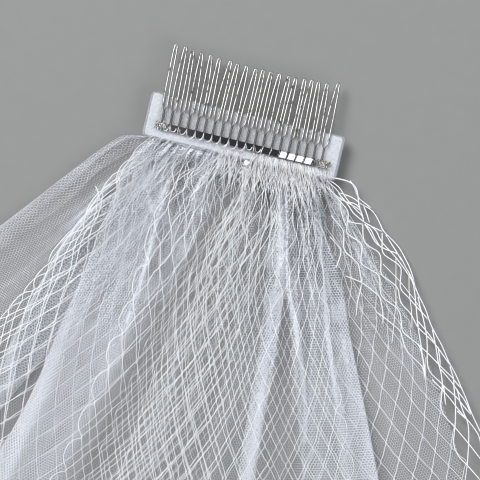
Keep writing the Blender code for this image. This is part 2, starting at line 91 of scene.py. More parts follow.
class Shade:
    """A value that varies over a material, for use in Python expressions."""

    def __init__(self, look: Finish, socket: bpy.types.NodeSocket) -> None:
        """Wraps an output socket of the material's nodes."""
        self.look = look
        self.socket = socket

    __add__ = __radd__ = operator("ADD", "self + other")
    __sub__ = operator("SUBTRACT", "self - other")
    __rsub__ = operator("SUBTRACT", "other - self", swapped=True)
    __mul__ = __rmul__ = operator("MULTIPLY", "self * other")
    __truediv__ = operator("DIVIDE", "self / other")
    __rtruediv__ = operator("DIVIDE", "other / self", swapped=True)
    __mod__ = operator("FLOORED_MODULO", "self modulo other, never negative")
    __pow__ = operator("POWER", "self to the power of other")
    __abs__ = operator("ABSOLUTE", "The size of self.")
    above = operator("GREATER_THAN", "1 where self is above other, else 0.")
    most = operator("MAXIMUM", "The larger of the two.")
    exp = operator("EXPONENT", "e to the power of self.")
    sine = operator("SINE", "The sine of self, in radians.")

    def eased(self, low: float, high: float) -> Shade:
        """0 below low, 1 above high, and a smooth step between them."""
        smooth = {"interpolation_type": "SMOOTHSTEP"}
        return self.look.node("MapRange", smooth, "Result", Value=self, From_Min=low, From_Max=high)


def pick(sockets: Iterable[bpy.types.NodeSocket], key: str) -> bpy.types.NodeSocket:
    """The first socket with this identifier or name, its spaces written as underscores."""
    return next(each for each in sockets if key in (each.identifier, each.name.replace(" ", "_")))


class Finish:
    """A material being built, with its shader's sockets at hand."""

    def __init__(self, name: str, **constants: float) -> None:
        """Starts a material whose constants are the shader inputs that are the same all over."""
        self.material = bpy.data.materials.new(name)
        self.material.use_nodes = True
        self.tree = self.material.node_tree
        self.shader = self.tree.nodes["Principled BSDF"]
        self.fill(self.shader, constants)

    def fill(self, node: bpy.types.Node, inputs: dict[str, Input]) -> None:
        """Links or sets some of a node's inputs, by their names."""
        for key, value in inputs.items():
            socket = pick(node.inputs, key)
            if isinstance(value, Shade):
                self.tree.links.new(value.socket, socket)
            else:
                socket.default_value = value

    def node(self, kind: str, settings: dict | None = None, output: str = "", **inputs: Input) -> Shade:
        """Adds a node of any kind.

        Args:
            kind: the node's type without its "ShaderNode" prefix.
            settings: attributes of the node, set first.
            output: the name of the output to return, or nothing for the first.
            inputs: values or links of its inputs, by their names.

        Returns:
            The chosen output.
        """
        made = self.tree.nodes.new("ShaderNode" + kind)
        for key, value in (settings or {}).items():
            setattr(made, key, value)
        self.fill(made, inputs)
        return Shade(self, pick(made.outputs, output) if output else made.outputs[0])

    def split(self, vector: Shade) -> list[Shade]:
        """The X, Y and Z of a vector."""
        first = self.node("SeparateXYZ", Vector=vector)
        return [Shade(self, output) for output in first.socket.node.outputs]

    def place(self) -> Shade:
        """Object coordinates."""
        return self.node("TexCoord", output="Object")

    def cloth_place(self) -> list[Shade]:
        """The cloth's own coordinates, in mm: across it and down it."""
        return self.split(self.node("UVMap", {"uv_map": "cloth"}))[:2]

    def noise(self, scale: float, detail: float = 2.0, place: Shade | None = None, **more: float) -> Shade:
        """Noise over the object, or over another place."""
        return self.node("TexNoise", Vector=place or self.place(), Scale=scale, Detail=detail, **more)

    def blend(self, factor: Shade, first: Shade | tuple, second: Shade | tuple) -> Shade:
        """A colour between two, by the factor."""
        first, second = (end if isinstance(end, Shade) else (*end, 1.0) for end in (first, second))
        colours = {"Factor_Float": factor, "A_Color": first, "B_Color": second}
        return self.node("Mix", {"data_type": "RGBA"}, "Result_Color", **colours)

    def bump(self, height: Shade, distance: float, strength: float = 1.0) -> None:
        """Feeds the normal with a bump of the height."""
        normal = self.node("Bump", output="Normal", Height=height, Distance=distance, Strength=strength)
        self.feed("Normal", normal)

    def feed(self, name: str, value: Shade) -> None:
        """Links a varying value to one of the shader's inputs."""
        self.fill(self.shader, {name.replace(" ", "_"): value})


# ----------------------------------------------------------------------------------------------- finishes
@dataclass(frozen=True)
class TulleFinish:
    """Fine hexagonal tulle: threads round open holes, denser where it is bunched. Lengths are in mm."""

    name: str
    colour: tuple = (0.83, 0.865, 0.93)
    pitch: float = 1.25
    thread: float = 0.072
    thickening: float = 0.7  # how the thread grows with bunching, as a power
    second_turn: float = 0.42  # of the mesh of the layers behind
    second_fineness: float = 1.07
    screen_turn: float = 0.3  # of the dots where the floor shows through every layer
    screen_dot: float = 0.32
    screen_until: tuple = (0.45, 0.75)
    piercing: float = 0.95
    grain: float = 0.8
    grain_scale: float = 800.0
    streak: float = 0.8
    streak_size: tuple = (2.3, 38.0)
    streak_fade: float = 70.0
    ridge: float = 1.5
    ridge_base: float = 0.35
    ridge_size: tuple = (10.0, 130.0)
    ridge_fade: float = 170.0
    satin: tuple = (3.4, 5.6)  # the bunching at which the folds turn to a plain satin white, without the painted shade
    # painted shade in the pleat troughs near the tape, and the darkest share of the colour that it paints
    painted_trough_shade: float = 0.35
    painted_shade_darkest: float = 0.12

    def hexes(self, across: Shade, down: Shade) -> Shade:
        """How far each place is from the middle of its hexagon, 0.5 at the hexagon's sides."""
        tall = math.sqrt(3.0)
        many = 500.0  # whole hexagons that keep the coordinates above 0
        pairs = []
        for shift in (0.0, 0.5):
            x = (across + (many + shift)) % 1.0 - 0.5
            y = (down + (many * tall + shift * tall)) % tall - tall / 2.0
            pairs.append((abs(x), abs(y)))
        (ax, ay), (bx, by) = pairs
        nearer = (bx * bx + by * by).above(ax * ax + ay * ay)
        x, y = ax * nearer + bx * (1 - nearer), ay * nearer + by * (1 - nearer)
        return (x * 0.5 + y * (tall / 2.0)).most(x)

    def turned(self, x: Shade, y: Shade, angle: float, size: float, ripple: Shade) -> Shade:
        """The hexagons of this size in a mesh that is turned by an angle, in radians."""
        cos, sin = math.cos(angle) / size, math.sin(angle) / size
        return self.hexes(x * cos + y * sin + ripple, y * cos - x * sin - ripple)

    def make(self) -> bpy.types.Material:
        """The material, with the mesh as its alpha: a second mesh shows where the cloth is bunched."""
        look = Finish(self.name, Roughness=0.62, Specular_IOR_Level=0.25, Sheen_Weight=0.2)
        across, down = look.cloth_place()
        ripple = look.noise(45.0) * 0.5
        near, further = ((0.0 - down / fade).exp() for fade in (self.streak_fade, self.ridge_fade))

        wide, long = self.streak_size
        fine_place = look.node("CombineXYZ", X=across / wide, Y=down / long)
        fine = look.noise(1.0, 3.0, fine_place, Roughness=0.6).eased(0.32, 0.68)
        wide, long = self.ridge_size
        broad_place = look.node("CombineXYZ", X=across / wide, Y=down / long, Z=4.0)
        broad = look.noise(1.0, 1.0, broad_place).eased(0.42, 0.66)
        grain = look.noise(self.grain_scale, 1.0).eased(0.36, 0.64)
        streaks = 1.0 + near * (fine - 0.5) * (2.0 * self.streak)
        streaks = streaks * (1.0 + further * (broad * self.ridge - self.ridge_base))
        bunching = look.node("Attribute", {"attribute_name": "bunching"}, "Fac")
        packed = (bunching * streaks * (1.0 + near * (grain - 0.5) * self.grain)).most(0.0)
        satin = packed.eased(*self.satin)

        half = self.thread / self.pitch
        mesh = self.hexes(across / self.pitch + ripple, down / self.pitch + ripple)
        thread = mesh.above(0.5 - packed**self.thickening * half)
        behind = self.turned(across, down, self.second_turn, self.pitch / self.second_fineness, ripple)
        behind = behind.above(0.5 - (packed - 1.0).most(0.0) * (0.7 * half))
        x, y, _z = look.split(look.place())
        holes = self.turned(x, y, self.screen_turn, self.pitch * MM, ripple)
        patches = look.noise(70.0, 1.0).eased(0.34, 0.56)
        pierced = (self.screen_dot - holes).above(0.0) * patches
        pierced = pierced * further.eased(*self.screen_until) * (1.0 - satin)
        look.feed("Alpha", thread.most(behind) * (1.0 - pierced * self.piercing))

        # painted shade: the second mesh's threads, the pleat troughs near the tape and the broad streaks are
        # painted darker, towards the dimmed colour; the dense satin folds keep the full colour
        painted_bright = (thread * 0.3 + 0.7).most(satin)
        for pattern in (grain, fine):
            painted_bright = painted_bright * (1.0 - near * (1.0 - pattern) * self.painted_trough_shade)
        painted_bright = painted_bright * (1.0 - look.noise(1.0, 1.0, fine_place).eased(0.35, 0.7) * 0.12)
        dimmed = tuple(value * self.painted_shade_darkest for value in self.colour)
        look.feed("Base Color", look.blend(painted_bright, dimmed, self.colour))
        return look.material


@dataclass(frozen=True)
class YarnFinish:
    """The nets' soft twisted thread."""

    name: str
    colour: tuple = (0.94, 0.955, 0.985)
    patches: float = 140.0
    dimmest: float = 0.9
    turns_in_mm: float = 9.0

    def make(self) -> bpy.types.Material:
        """The material, with the twist as a bump."""
        look = Finish(self.name, Roughness=0.55, Specular_IOR_Level=0.3, Sheen_Weight=0.3)
        around, along = look.cloth_place()
        look.bump((along * self.turns_in_mm + around * math.tau).sine(), 0.00003)
        dim = tuple(value * self.dimmest for value in self.colour)
        look.feed("Base Color", look.blend(look.noise(self.patches).eased(0.3, 0.7), dim, self.colour))
        return look.material


@dataclass(frozen=True)
class PlushFinish:
    """Brushed plush, greyer and speckled where the comb has pressed it."""

    name: str
    left_edge: tuple = (-38.0, -33.5)  # where the greyer part under the comb starts and where it is full, in mm
    right_edge: tuple = (33.5, 38.0)
    low_edge: tuple = (-1.5, 2.0)
    under_comb_share: float = 0.85

    def make(self) -> bpy.types.Material:
        """The material, with its pressed part by place."""
        look = Finish(self.name, Roughness=0.92, Specular_IOR_Level=0.15, Sheen_Weight=0.6)
        x, y, _z = look.split(look.place())
        wander = look.noise(260.0) * 0.004
        left, right, low = (
            (place + wander).eased(start * MM, end * MM)
            for place, (start, end) in ((x, self.left_edge), (x, self.right_edge), (y, self.low_edge))
        )
        grain = look.noise(1100.0, 4.0, Roughness=0.75)
        nap = look.blend(grain.eased(0.3, 0.7), (0.54, 0.57, 0.63), (0.74, 0.76, 0.8))
        under_comb_colour = look.blend(look.noise(1900.0).eased(0.4, 0.6), (0.26, 0.26, 0.275), (0.6, 0.6, 0.61))
        look.feed("Base Color", look.blend(left * (1 - right) * low * self.under_comb_share, nap, under_comb_colour))
        look.bump(grain, 0.0004, 0.9)
        return look.material


@dataclass(frozen=True)
class MetalFinish:
    """Bright plated wire."""

    name: str
    colour: tuple
    roughness: float
    tarnish_and_shade: tuple
    painted_shade_below: tuple = (7.0, 10.0, 0.0)  # painted shade: the Y where it starts to lighten, where it is light, and how dark

    def make(self) -> bpy.types.Material:
        """The material, a little duller in places."""
        look = Finish(self.name, Metallic=1.0)
        start, end, depth = self.painted_shade_below
        # painted shade below the Y, taken with the tarnish into dimmed
        shaded = (1.0 - look.split(look.place())[1].eased(start * MM, end * MM)) * depth
        dimmed = look.noise(420.0, 3.0).eased(0.5, 0.75).most(shaded)
        look.feed("Base Color", look.blend(dimmed, self.colour, self.tarnish_and_shade))
        look.feed("Roughness", dimmed * 0.22 + self.roughness)
        look.bump(look.noise(2400.0), 0.00002, 0.5)
        return look.material


@dataclass(frozen=True)
class StripFinish:
    """The flat strip's mirror: darker in the middle, warmer and lighter towards its left end."""

    name: str
    painted_lit_warm: tuple = (0.34, 0.29, 0.28)
    painted_dark: tuple = (0.14, 0.14, 0.15)
    painted_lit_until: tuple = (-27.0, -12.0)
    painted_lit_lower_edge: tuple = (-0.8, -1.6)

    def make(self) -> bpy.types.Material:
        """The material, by place along the strip."""
        look = Finish(self.name, Metallic=1.0)
        x, y, _z = look.split(look.place())
        smear = look.noise(300.0)
        (start, end), (inner, outer) = (np.array(pair) * MM for pair in (self.painted_lit_until, self.painted_lit_lower_edge))
        # painted light: lighter and warmer at the left end and lighter at the lower edge, painted dark
        # reflection elsewhere
        along = (x + smear * 0.004).eased(start, end) * (1.0 - y.eased(inner, outer) * 0.3)
        look.feed("Base Color", look.blend(along, self.painted_lit_warm, self.painted_dark))
        look.feed("Roughness", smear * 0.08 + 0.02)
        return look.material


@dataclass(frozen=True)
class BeadFinish:
    """A clear white bead."""

    name: str

    def make(self) -> bpy.types.Material:
        """The material, milky with a glossy skin."""
        look = Finish(self.name, Roughness=0.08, IOR=1.5, Subsurface_Weight=0.1, Coat_Weight=0.6)
        cloud = look.noise(900.0).eased(0.35, 0.65)
        look.feed("Base Color", look.blend(cloud, (0.93, 0.92, 0.9), (0.99, 0.98, 0.96)))
        return look.material


# ------------------------------------------------------------------------------------------ plan of the fan
def smoothstep(value: float | np.ndarray) -> np.ndarray:
    """Eases from 0 to 1 as the value goes from 0 to 1."""
    clipped = np.clip(value, 0.0, 1.0)
    return clipped * clipped * (3.0 - 2.0 * clipped)


class Cloth(Enum):
    """The four cloths, from the lowest up: the number is the order under the tape."""

    LOWER_TULLE = 0
    LOWER_NET = 1
    UPPER_TULLE = 2
    UPPER_NET = 3


@dataclass(frozen=True)
class Line:
    """An edge or a fold of a cloth, and the panel of cloth that starts there."""

    name: str
    places: tuple  # X at each of the depths below the bar, in mm
    order: int = -1  # the panel's place in the pile, from the lowest up; the last line starts none


@dataclass
class Fan:
    """The plan in which the threads of every cloth spread from the comb, in mm."""

    heading_left: float = -40.0
    heading_right: float = 42.5
    heading_y: float = -5.5
    left_deg: float = -41.0
    right_deg: float = 35.0
    left_flare: tuple = (40.0, 7.0, 10)
    right_flare: tuple = (17.0, 78.0, 5)
    draw_in: tuple = (140.0, 560.0, 0.93)
    steps: int = 48  # along a thread
    probes: int = 41  # across the fan, for its width
    threads: int = 201  # tried for the one through a place
    rounds: int = 12

    def angle(self, across: np.ndarray, run: np.ndarray) -> np.ndarray:
        """The direction of the threads after their run from the tape, in radians from straight down."""
        degrees = self.left_deg + (self.right_deg - self.left_deg) * across
        flare, fade, power = self.left_flare
        degrees = degrees - flare * np.clip(1.0 - across, 0.0, 2.0) ** power * np.exp(-run / fade)
        flare, fade, power = self.right_flare
        degrees = degrees + flare * np.clip(across, 0.0, 2.0) ** power * np.exp(-((run / fade) ** 2))
        start, end, share = self.draw_in
        return np.radians(degrees * (1.0 - share * smoothstep((run - start) / (end - start))))

    def point(self, across: np.ndarray, run: np.ndarray) -> tuple[np.ndarray, np.ndarray]:
        """The plan position of threads (0 the left edge, 1 the right) at their runs from the tape.

        Args:
            across: the threads, as shares of the fan's width.
            run: the distance from the tape of each.

        Returns:
            The X and Y of each, in mm.
        """
        across, run = np.broadcast_arrays(np.asarray(across, float), np.asarray(run, float))
        out = np.maximum(run, 0.0)
        x = self.heading_left + (self.heading_right - self.heading_left) * across
        y = self.heading_y - np.minimum(run, 0.0)
        length = out / self.steps
        for step in range(self.steps + 1):
            weight = 0.5 if step in (0, self.steps) else 1.0
            angle = self.angle(across, out * (step / self.steps))
            x = x + weight * np.sin(angle) * length
            y = y - weight * np.cos(angle) * length
        return x, y

    def width(self, run: float) -> float:
        """The fan's width along its section at a run."""
        x, y = self.point(np.linspace(0.0, 1.0, self.probes), max(run, 0.0))
        return float(np.hypot(np.diff(x), np.diff(y)).sum())

    def thread_at(self, x_at: float, depth: float) -> tuple[float, float]:
        """The thread and run that lie at an X, at a depth below the bar."""
        threads = np.linspace(0.0, 1.0, self.threads)
        runs = np.zeros_like(threads)
        for _ in range(self.rounds):
            x, y = self.point(threads, runs)
            runs = np.maximum(runs + (y + depth), 0.0)
        x, _y = self.point(threads, runs)
        return float(np.interp(x_at, x, threads)), float(np.interp(x_at, x, runs))


LINE_DEPTHS = (5.0, 60.0, 130.0)
PATHS = {  # each cloth's edges and folds, in order along its path from the left
    Cloth.LOWER_TULLE: (
        Line("lower_tulle_strip", (-34.0, -84.0, -143.0), 1),
        Line("lower_tulle_left", (-40.0, -92.0, -150.0), 0),
        Line("lobe_right", (-11.0, -39.0, -74.0), 2),
        Line("lobe_left", (-36.0, -64.0, -80.0), 3),
        Line("lower_tulle_right", (4.0, -14.0, -31.0)),
    ),
    Cloth.LOWER_NET: (
        Line("lower_net_left", (-37.5, -64.5, -104.0), 4),
        Line("lower_net_fold_right", (14.0, 10.0, 6.0), 5),
        Line("lower_net_fold_left", (-4.0, -14.0, -26.0), 6),
        Line("lower_net_right", (42.5, 103.0, 153.0), 16),
        Line("lower_net_cut", (36.0, 79.0, 146.0)),
    ),
    Cloth.UPPER_TULLE: (
        Line("upper_tulle_cut", (6.0, -12.5, -29.0), 7),
        Line("upper_tulle_left", (-37.0, -49.5, -61.6), 10),
        Line("centre_fold_right", (20.0, 31.4, 36.8), 11),
        Line("centre_fold_left", (15.0, 26.4, 31.4), 12),
        Line("right_fold_right", (35.0, 59.6, 92.4), 9),
        Line("right_fold_left", (25.5, 38.0, 61.0), 8),
        Line("upper_tulle_right", (39.5, 93.0, 136.0)),
    ),
    Cloth.UPPER_NET: (
        Line("upper_net_left", (-24.0, -30.0, -40.0), 13),
        Line("upper_net_fold_right", (13.0, 15.0, 18.0), 14),
        Line("upper_net_fold_left", (2.0, -8.0, -14.0), 15),
        Line("upper_net_right", (33.0, 52.0, 84.0)),
    ),
}
PILE = sorted(  # every panel from the lowest up: its place in the pile, its cloth and its place in the path
    (line.order, cloth, index) for cloth, lines in PATHS.items() for index, line in enumerate(lines[:-1])
)


@dataclass(frozen=True)
class Wave:
    """One wave of gathers across a cloth, in mm."""

    length: float  # along the cut cloth
    shift: float  # how far it moves the threads sideways
    lift: float  # how far it lifts them
    fade: float  # the run over which it fades
    left_over: float = 0.1  # the share that stays below that


@dataclass
class Gathers:
    """The small gathers of a cloth: waves across it that shift its threads sideways and lift them."""

    seed: int
    waves: tuple
    opening: float = 9.0  # the run over which they grow
    patches: tuple = (0.55, 0.45, 4.3)  # their least size, how far it varies, and over how many waves
    wander: tuple = (0.4, 31.0, 9.0)  # how far the crests swing, over what run, and how much more a wave
    phases: list = field(init=False)

    def __post_init__(self) -> None:
        """Draws each wave's phase."""
        draw = np.random.default_rng(self.seed)
        self.phases = [draw.uniform(0.0, math.tau, 2) for _ in self.waves]

    def at(self, across: np.ndarray, run: float) -> tuple[np.ndarray, np.ndarray]:
        """The sideways shift and the lift of the threads, in mm.

        Args:
            across: each thread's place across the cut cloth, in mm.
            run: the distance from the tape.

        Returns:
            The shifts and the lifts.
        """
        grow = float(smoothstep(run / self.opening))
        (least, vary, wide), (swing, long, longer) = self.patches, self.wander
        sideways, up = np.zeros_like(across), np.zeros_like(across)
        for number, (wave, (phase, other)) in enumerate(zip(self.waves, self.phases)):
            size = grow * (wave.left_over + (1.0 - wave.left_over) * math.exp(-max(run, 0.0) / wave.fade))
            patch = least + vary * np.sin(across * math.tau / (wide * wave.length) + other)
            bend = swing * math.sin(run / (long + longer * number) + other)
            turn = math.tau * across / wave.length + phase + bend
            sideways = sideways + wave.shift * size * patch * np.sin(turn)
            up = up + wave.lift * size * patch * np.cos(turn)
        return sideways, up


@dataclass(frozen=True)
class Ripple:
    """A set of broad waves across the fan that rise and fall again with the run. Lengths are in mm."""

    height: float
    count: float
    rise: tuple  # where they start and over what run
    fall: tuple
    fallen: float  # the share that is gone at the end
    turn: float  # how much of a cloth's phase they take
    power: float  # how narrow their crests are

    def at(self, across: np.ndarray, run: float, phase: float) -> np.ndarray:
        """The waves' height at the threads, for a cloth with this phase."""
        (start, rising), (end, falling) = self.rise, self.fall
        size = self.height * smoothstep((run - start) / rising)
        size = size * (1.0 - self.fallen * smoothstep((run - end) / falling))
        wave = np.sin(math.tau * self.count * across + self.turn * phase)
        return size * np.clip(wave, 0.0, 1.0) ** self.power


RIPPLES = (
    Ripple(1.2, 13.0, (4.0, 10.0), (30.0, 60.0), fallen=1.0, turn=1.0, power=1.0),
    Ripple(2.4, 6.0, (50.0, 100.0), (350.0, 250.0), fallen=0.5, turn=1.7, power=1.5),
)


@dataclass
class Drape:
    """How the cloths lie on each other: every cloth's section at every run. Lengths are in mm."""

    fan: Fan
    gap: float = 0.3  # between the cloths under the tape
    lap_gap: float = 0.6  # between them where they lie on each other
    cloth: float = 1.0
    length: float = 600.0
    least_lap: float = 2.4
    least_edge_lap: float = 3.8
    side_inset: float = 1.0
    settle: tuple = (1.0, 12.0)  # the runs between which they leave their order under the tape
    lap_ease: tuple = (2.0, 58.0, 140.0, 520.0, 0.25)  # the runs of opening and of easing, and what is left
    spread: tuple = (0.062, 0.08, 60.0, 330.0)  # how far a bump carries the cloths above it, near and far
    smoothing: float = 0.012
    overhang: float = 0.05  # how far the grid reaches past the fan's edges
    places: int = 881
    top_rows: tuple = (-10.0, -4.0)
    close_rows: tuple = ((0.0, 12.0, 1.0), (12.0, 170.0, 1.9))  # from, to and step
    far_rows: int = 52
    line_ease: float = 22.0
    shorter: dict = field(default_factory=lambda: {
        Cloth.LOWER_TULLE: 0.0, Cloth.LOWER_NET: 8.0, Cloth.UPPER_TULLE: 45.0, Cloth.UPPER_NET: 53.0,
    })
    corner_radius: float = 62.0
    corner_share: float = 0.11
    ripples: dict = field(default_factory=lambda: {  # each cloth's share of the broad waves, and its phase
        Cloth.LOWER_TULLE: (1.0, 0.3), Cloth.LOWER_NET: (0.5, 1.9),
        Cloth.UPPER_TULLE: (0.8, 3.4), Cloth.UPPER_NET: (0.5, 5.1),
    })
    bend_columns: int = 5
    bend_bulge: tuple = (0.55, 1.1)  # a fold's bulge as a share of its height, and the most
    skin_share: float = 0.62

    def __post_init__(self) -> None:
        """Works out each line's threads and the rows of the shells."""
        self.grid = np.linspace(-self.overhang, 1.0 + self.overhang, self.places)
        self.knots = {
            line: [self.fan.thread_at(x, depth) for x, depth in zip(line.places, LINE_DEPTHS)]
            for lines in PATHS.values() for line in lines
        }
        far = np.linspace(self.close_rows[-1][1], self.length, self.far_rows)
        self.runs = np.concatenate([self.top_rows, *(np.arange(*rows) for rows in self.close_rows), far])
        self.widths = np.array([self.fan.width(run) for run in self.runs])

    def line(self, line: Line, run: float) -> float:
        """The thread that a line follows at a run, eased over its knots."""
        threads, runs = zip(*self.knots[line])
        around = run + np.linspace(-1.0, 1.0, 9) * min(self.line_ease, max(run, 0.0))
        return float(np.interp(around, runs, threads).mean())

    def lap(self, run: float) -> float:
        """How much of its full lap a pleat has at this run."""
        start, full, ease, end, left = self.lap_ease
        opening = smoothstep((run - start) / (full - start))
        return float(opening * (1.0 - (1.0 - left) * smoothstep((run - ease) / (end - ease))))

    def turns(self, cloth: Cloth, run: float, width: float) -> list[float]:
        """The threads at which the cloth's path starts, turns back and ends."""
        inset = self.side_inset / width
        threads = [self.line(line, run) for line in PATHS[cloth]]
        last = len(threads) - 1
        for index in range(last):
            lap = threads[index] - threads[index + 1]
            if lap <= 0.0:
                continue
            least = self.least_lap if 0 < index < last - 1 else self.least_edge_lap
            lap = max(lap * self.lap(run), least / width * float(smoothstep(run / 8.0)))
            if index == 0:
                threads[0] = max(threads[1] + lap, inset)
                threads[1] = threads[0] - lap
            elif index + 1 == last:
                threads[last] = min(threads[last - 1] - lap, 1.0 - inset)
                threads[last - 1] = threads[last] + lap
            else:
                middle = (threads[index] + threads[index + 1]) / 2.0
                threads[index], threads[index + 1] = middle + lap / 2.0, middle - lap / 2.0
        return threads

    def window(self, values: np.ndarray, reach: float) -> np.ndarray:
        """For each place of the grid, the values within the reach."""
        size = int(round(reach / (self.grid[1] - self.grid[0])))
        return np.lib.stride_tricks.sliding_window_view(np.pad(values, size, mode="edge"), 2 * size + 1)

    def ripple(self, cloth: Cloth, across: np.ndarray, run: float) -> np.ndarray:
        """The broad waves of a cloth."""
        if across[-1] < across[0]:
            return np.zeros_like(across)
        share, phase = self.ripples[cloth]
        return share * sum(ripple.at(across, run, phase) for ripple in RIPPLES)

    def sections(self, run: float, width: float, columns: dict) -> dict:
        """Every cloth's path at a run: its threads and middle heights, panel by panel.

        Args:
            run: the distance from the tape.
            width: the fan's width there.
            columns: how many columns each panel has, by its order.

        Returns:
            For each cloth the threads and the heights of its columns, bends included.
        """
        top = np.zeros_like(self.grid)
        turns = {cloth: self.turns(cloth, run, width) for cloth in Cloth}
        near, far, start, end = self.spread
        spread = near + (far - near) * float(smoothstep((run - start) / (end - start)))
        level = {cloth: self.cloth / 2.0 + cloth.value * (self.cloth + self.gap) for cloth in Cloth}
        settled = float(smoothstep((run - self.settle[0]) / (self.settle[1] - self.settle[0])))
        laid = {}
        for order, cloth, index in PILE:
            threads = np.linspace(*turns[cloth][index : index + 2], columns[order])
            under = self.window(self.window(top, spread).max(axis=1), self.smoothing).mean(axis=1)
            slope = np.gradient(under, (self.grid[1] - self.grid[0]) * width)
            lift = np.where(under > 0.0, self.lap_gap, 0.0) + self.cloth / 2.0 * np.sqrt(1.0 + slope**2)
            heights = np.interp(threads, self.grid, under + lift) + self.ripple(cloth, threads, run)
            rising = np.argsort(threads)
            step = 2.0 * (self.grid[1] - self.grid[0])
            inside = (self.grid >= threads.min() - step) & (self.grid <= threads.max() + step)
            skin = np.interp(self.grid, threads[rising], heights[rising] + self.skin_share * self.cloth)
            top = np.where(inside, np.maximum(top, skin), top)
            laid[cloth, index] = (threads, level[cloth] + settled * (heights - level[cloth]))
        return {cloth: self.joined(cloth, laid, width) for cloth in Cloth}

    def joined(self, cloth: Cloth, laid: dict, width: float) -> tuple[np.ndarray, np.ndarray]:
        """The cloth's panels as one path, with a round bend at each fold."""
        threads, heights = [], []
        turn = np.linspace(-math.pi / 2.0, math.pi / 2.0, self.bend_columns + 2)[1:-1]
        for index in range(len(PATHS[cloth]) - 1):
            here, up = laid[cloth, index]
            if index:
                before, up_before = laid[cloth, index - 1]
                outward = math.copysign(1.0, before[-1] - before[-2])
                share, most = self.bend_bulge
                bulge = outward * min(share * abs(up[0] - up_before[-1]), most) / width
                middle, half = (up[0] + up_before[-1]) / 2.0, (up[0] - up_before[-1]) / 2.0
                threads.append(before[-1] + bulge * np.cos(turn))
                heights.append(middle + half * np.sin(turn))
            threads.append(here)
            heights.append(up)
        return np.concatenate(threads), np.concatenate(heights)

    def hem_run(self, cloth: Cloth, across: np.ndarray, run: np.ndarray) -> np.ndarray:
        """The runs with the cloth's own length and rounded corners, eased in towards the hem."""
        threads = self.turns(cloth, self.length, self.widths[-1])
        reach = np.minimum(across - min(threads), max(threads) - across) / self.corner_share
        corner = self.corner_radius * (1.0 - np.sqrt(1.0 - (1.0 - np.clip(reach, 0.0, 1.0)) ** 2))
        return run - (self.shorter[cloth] + corner) * np.clip(run / self.length, 0.0, 1.0) ** 3


@dataclass(frozen=True)
class Mark:
    """A ridge or a thin place of the tulle: a line in plan with its half widths, in mm, and its density."""

    cloths: tuple
    gain: float
    line: tuple

    def weight(self, x: np.ndarray, y: np.ndarray) -> np.ndarray:
        """How much of the mark each plan point has, from 0 to 1."""
        points = np.array(self.line, float)
        best = np.zeros_like(x)
        for (ax, ay, aw), (bx, by, bw) in zip(points[:-1], points[1:]):
            dx, dy = bx - ax, by - ay
            share = np.clip(((x - ax) * dx + (y - ay) * dy) / (dx * dx + dy * dy), 0.0, 1.0)
            far = np.hypot(x - ax - share * dx, y - ay - share * dy) / (aw + (bw - aw) * share)
            best = np.maximum(best, np.exp(-(far**4)))
        return best


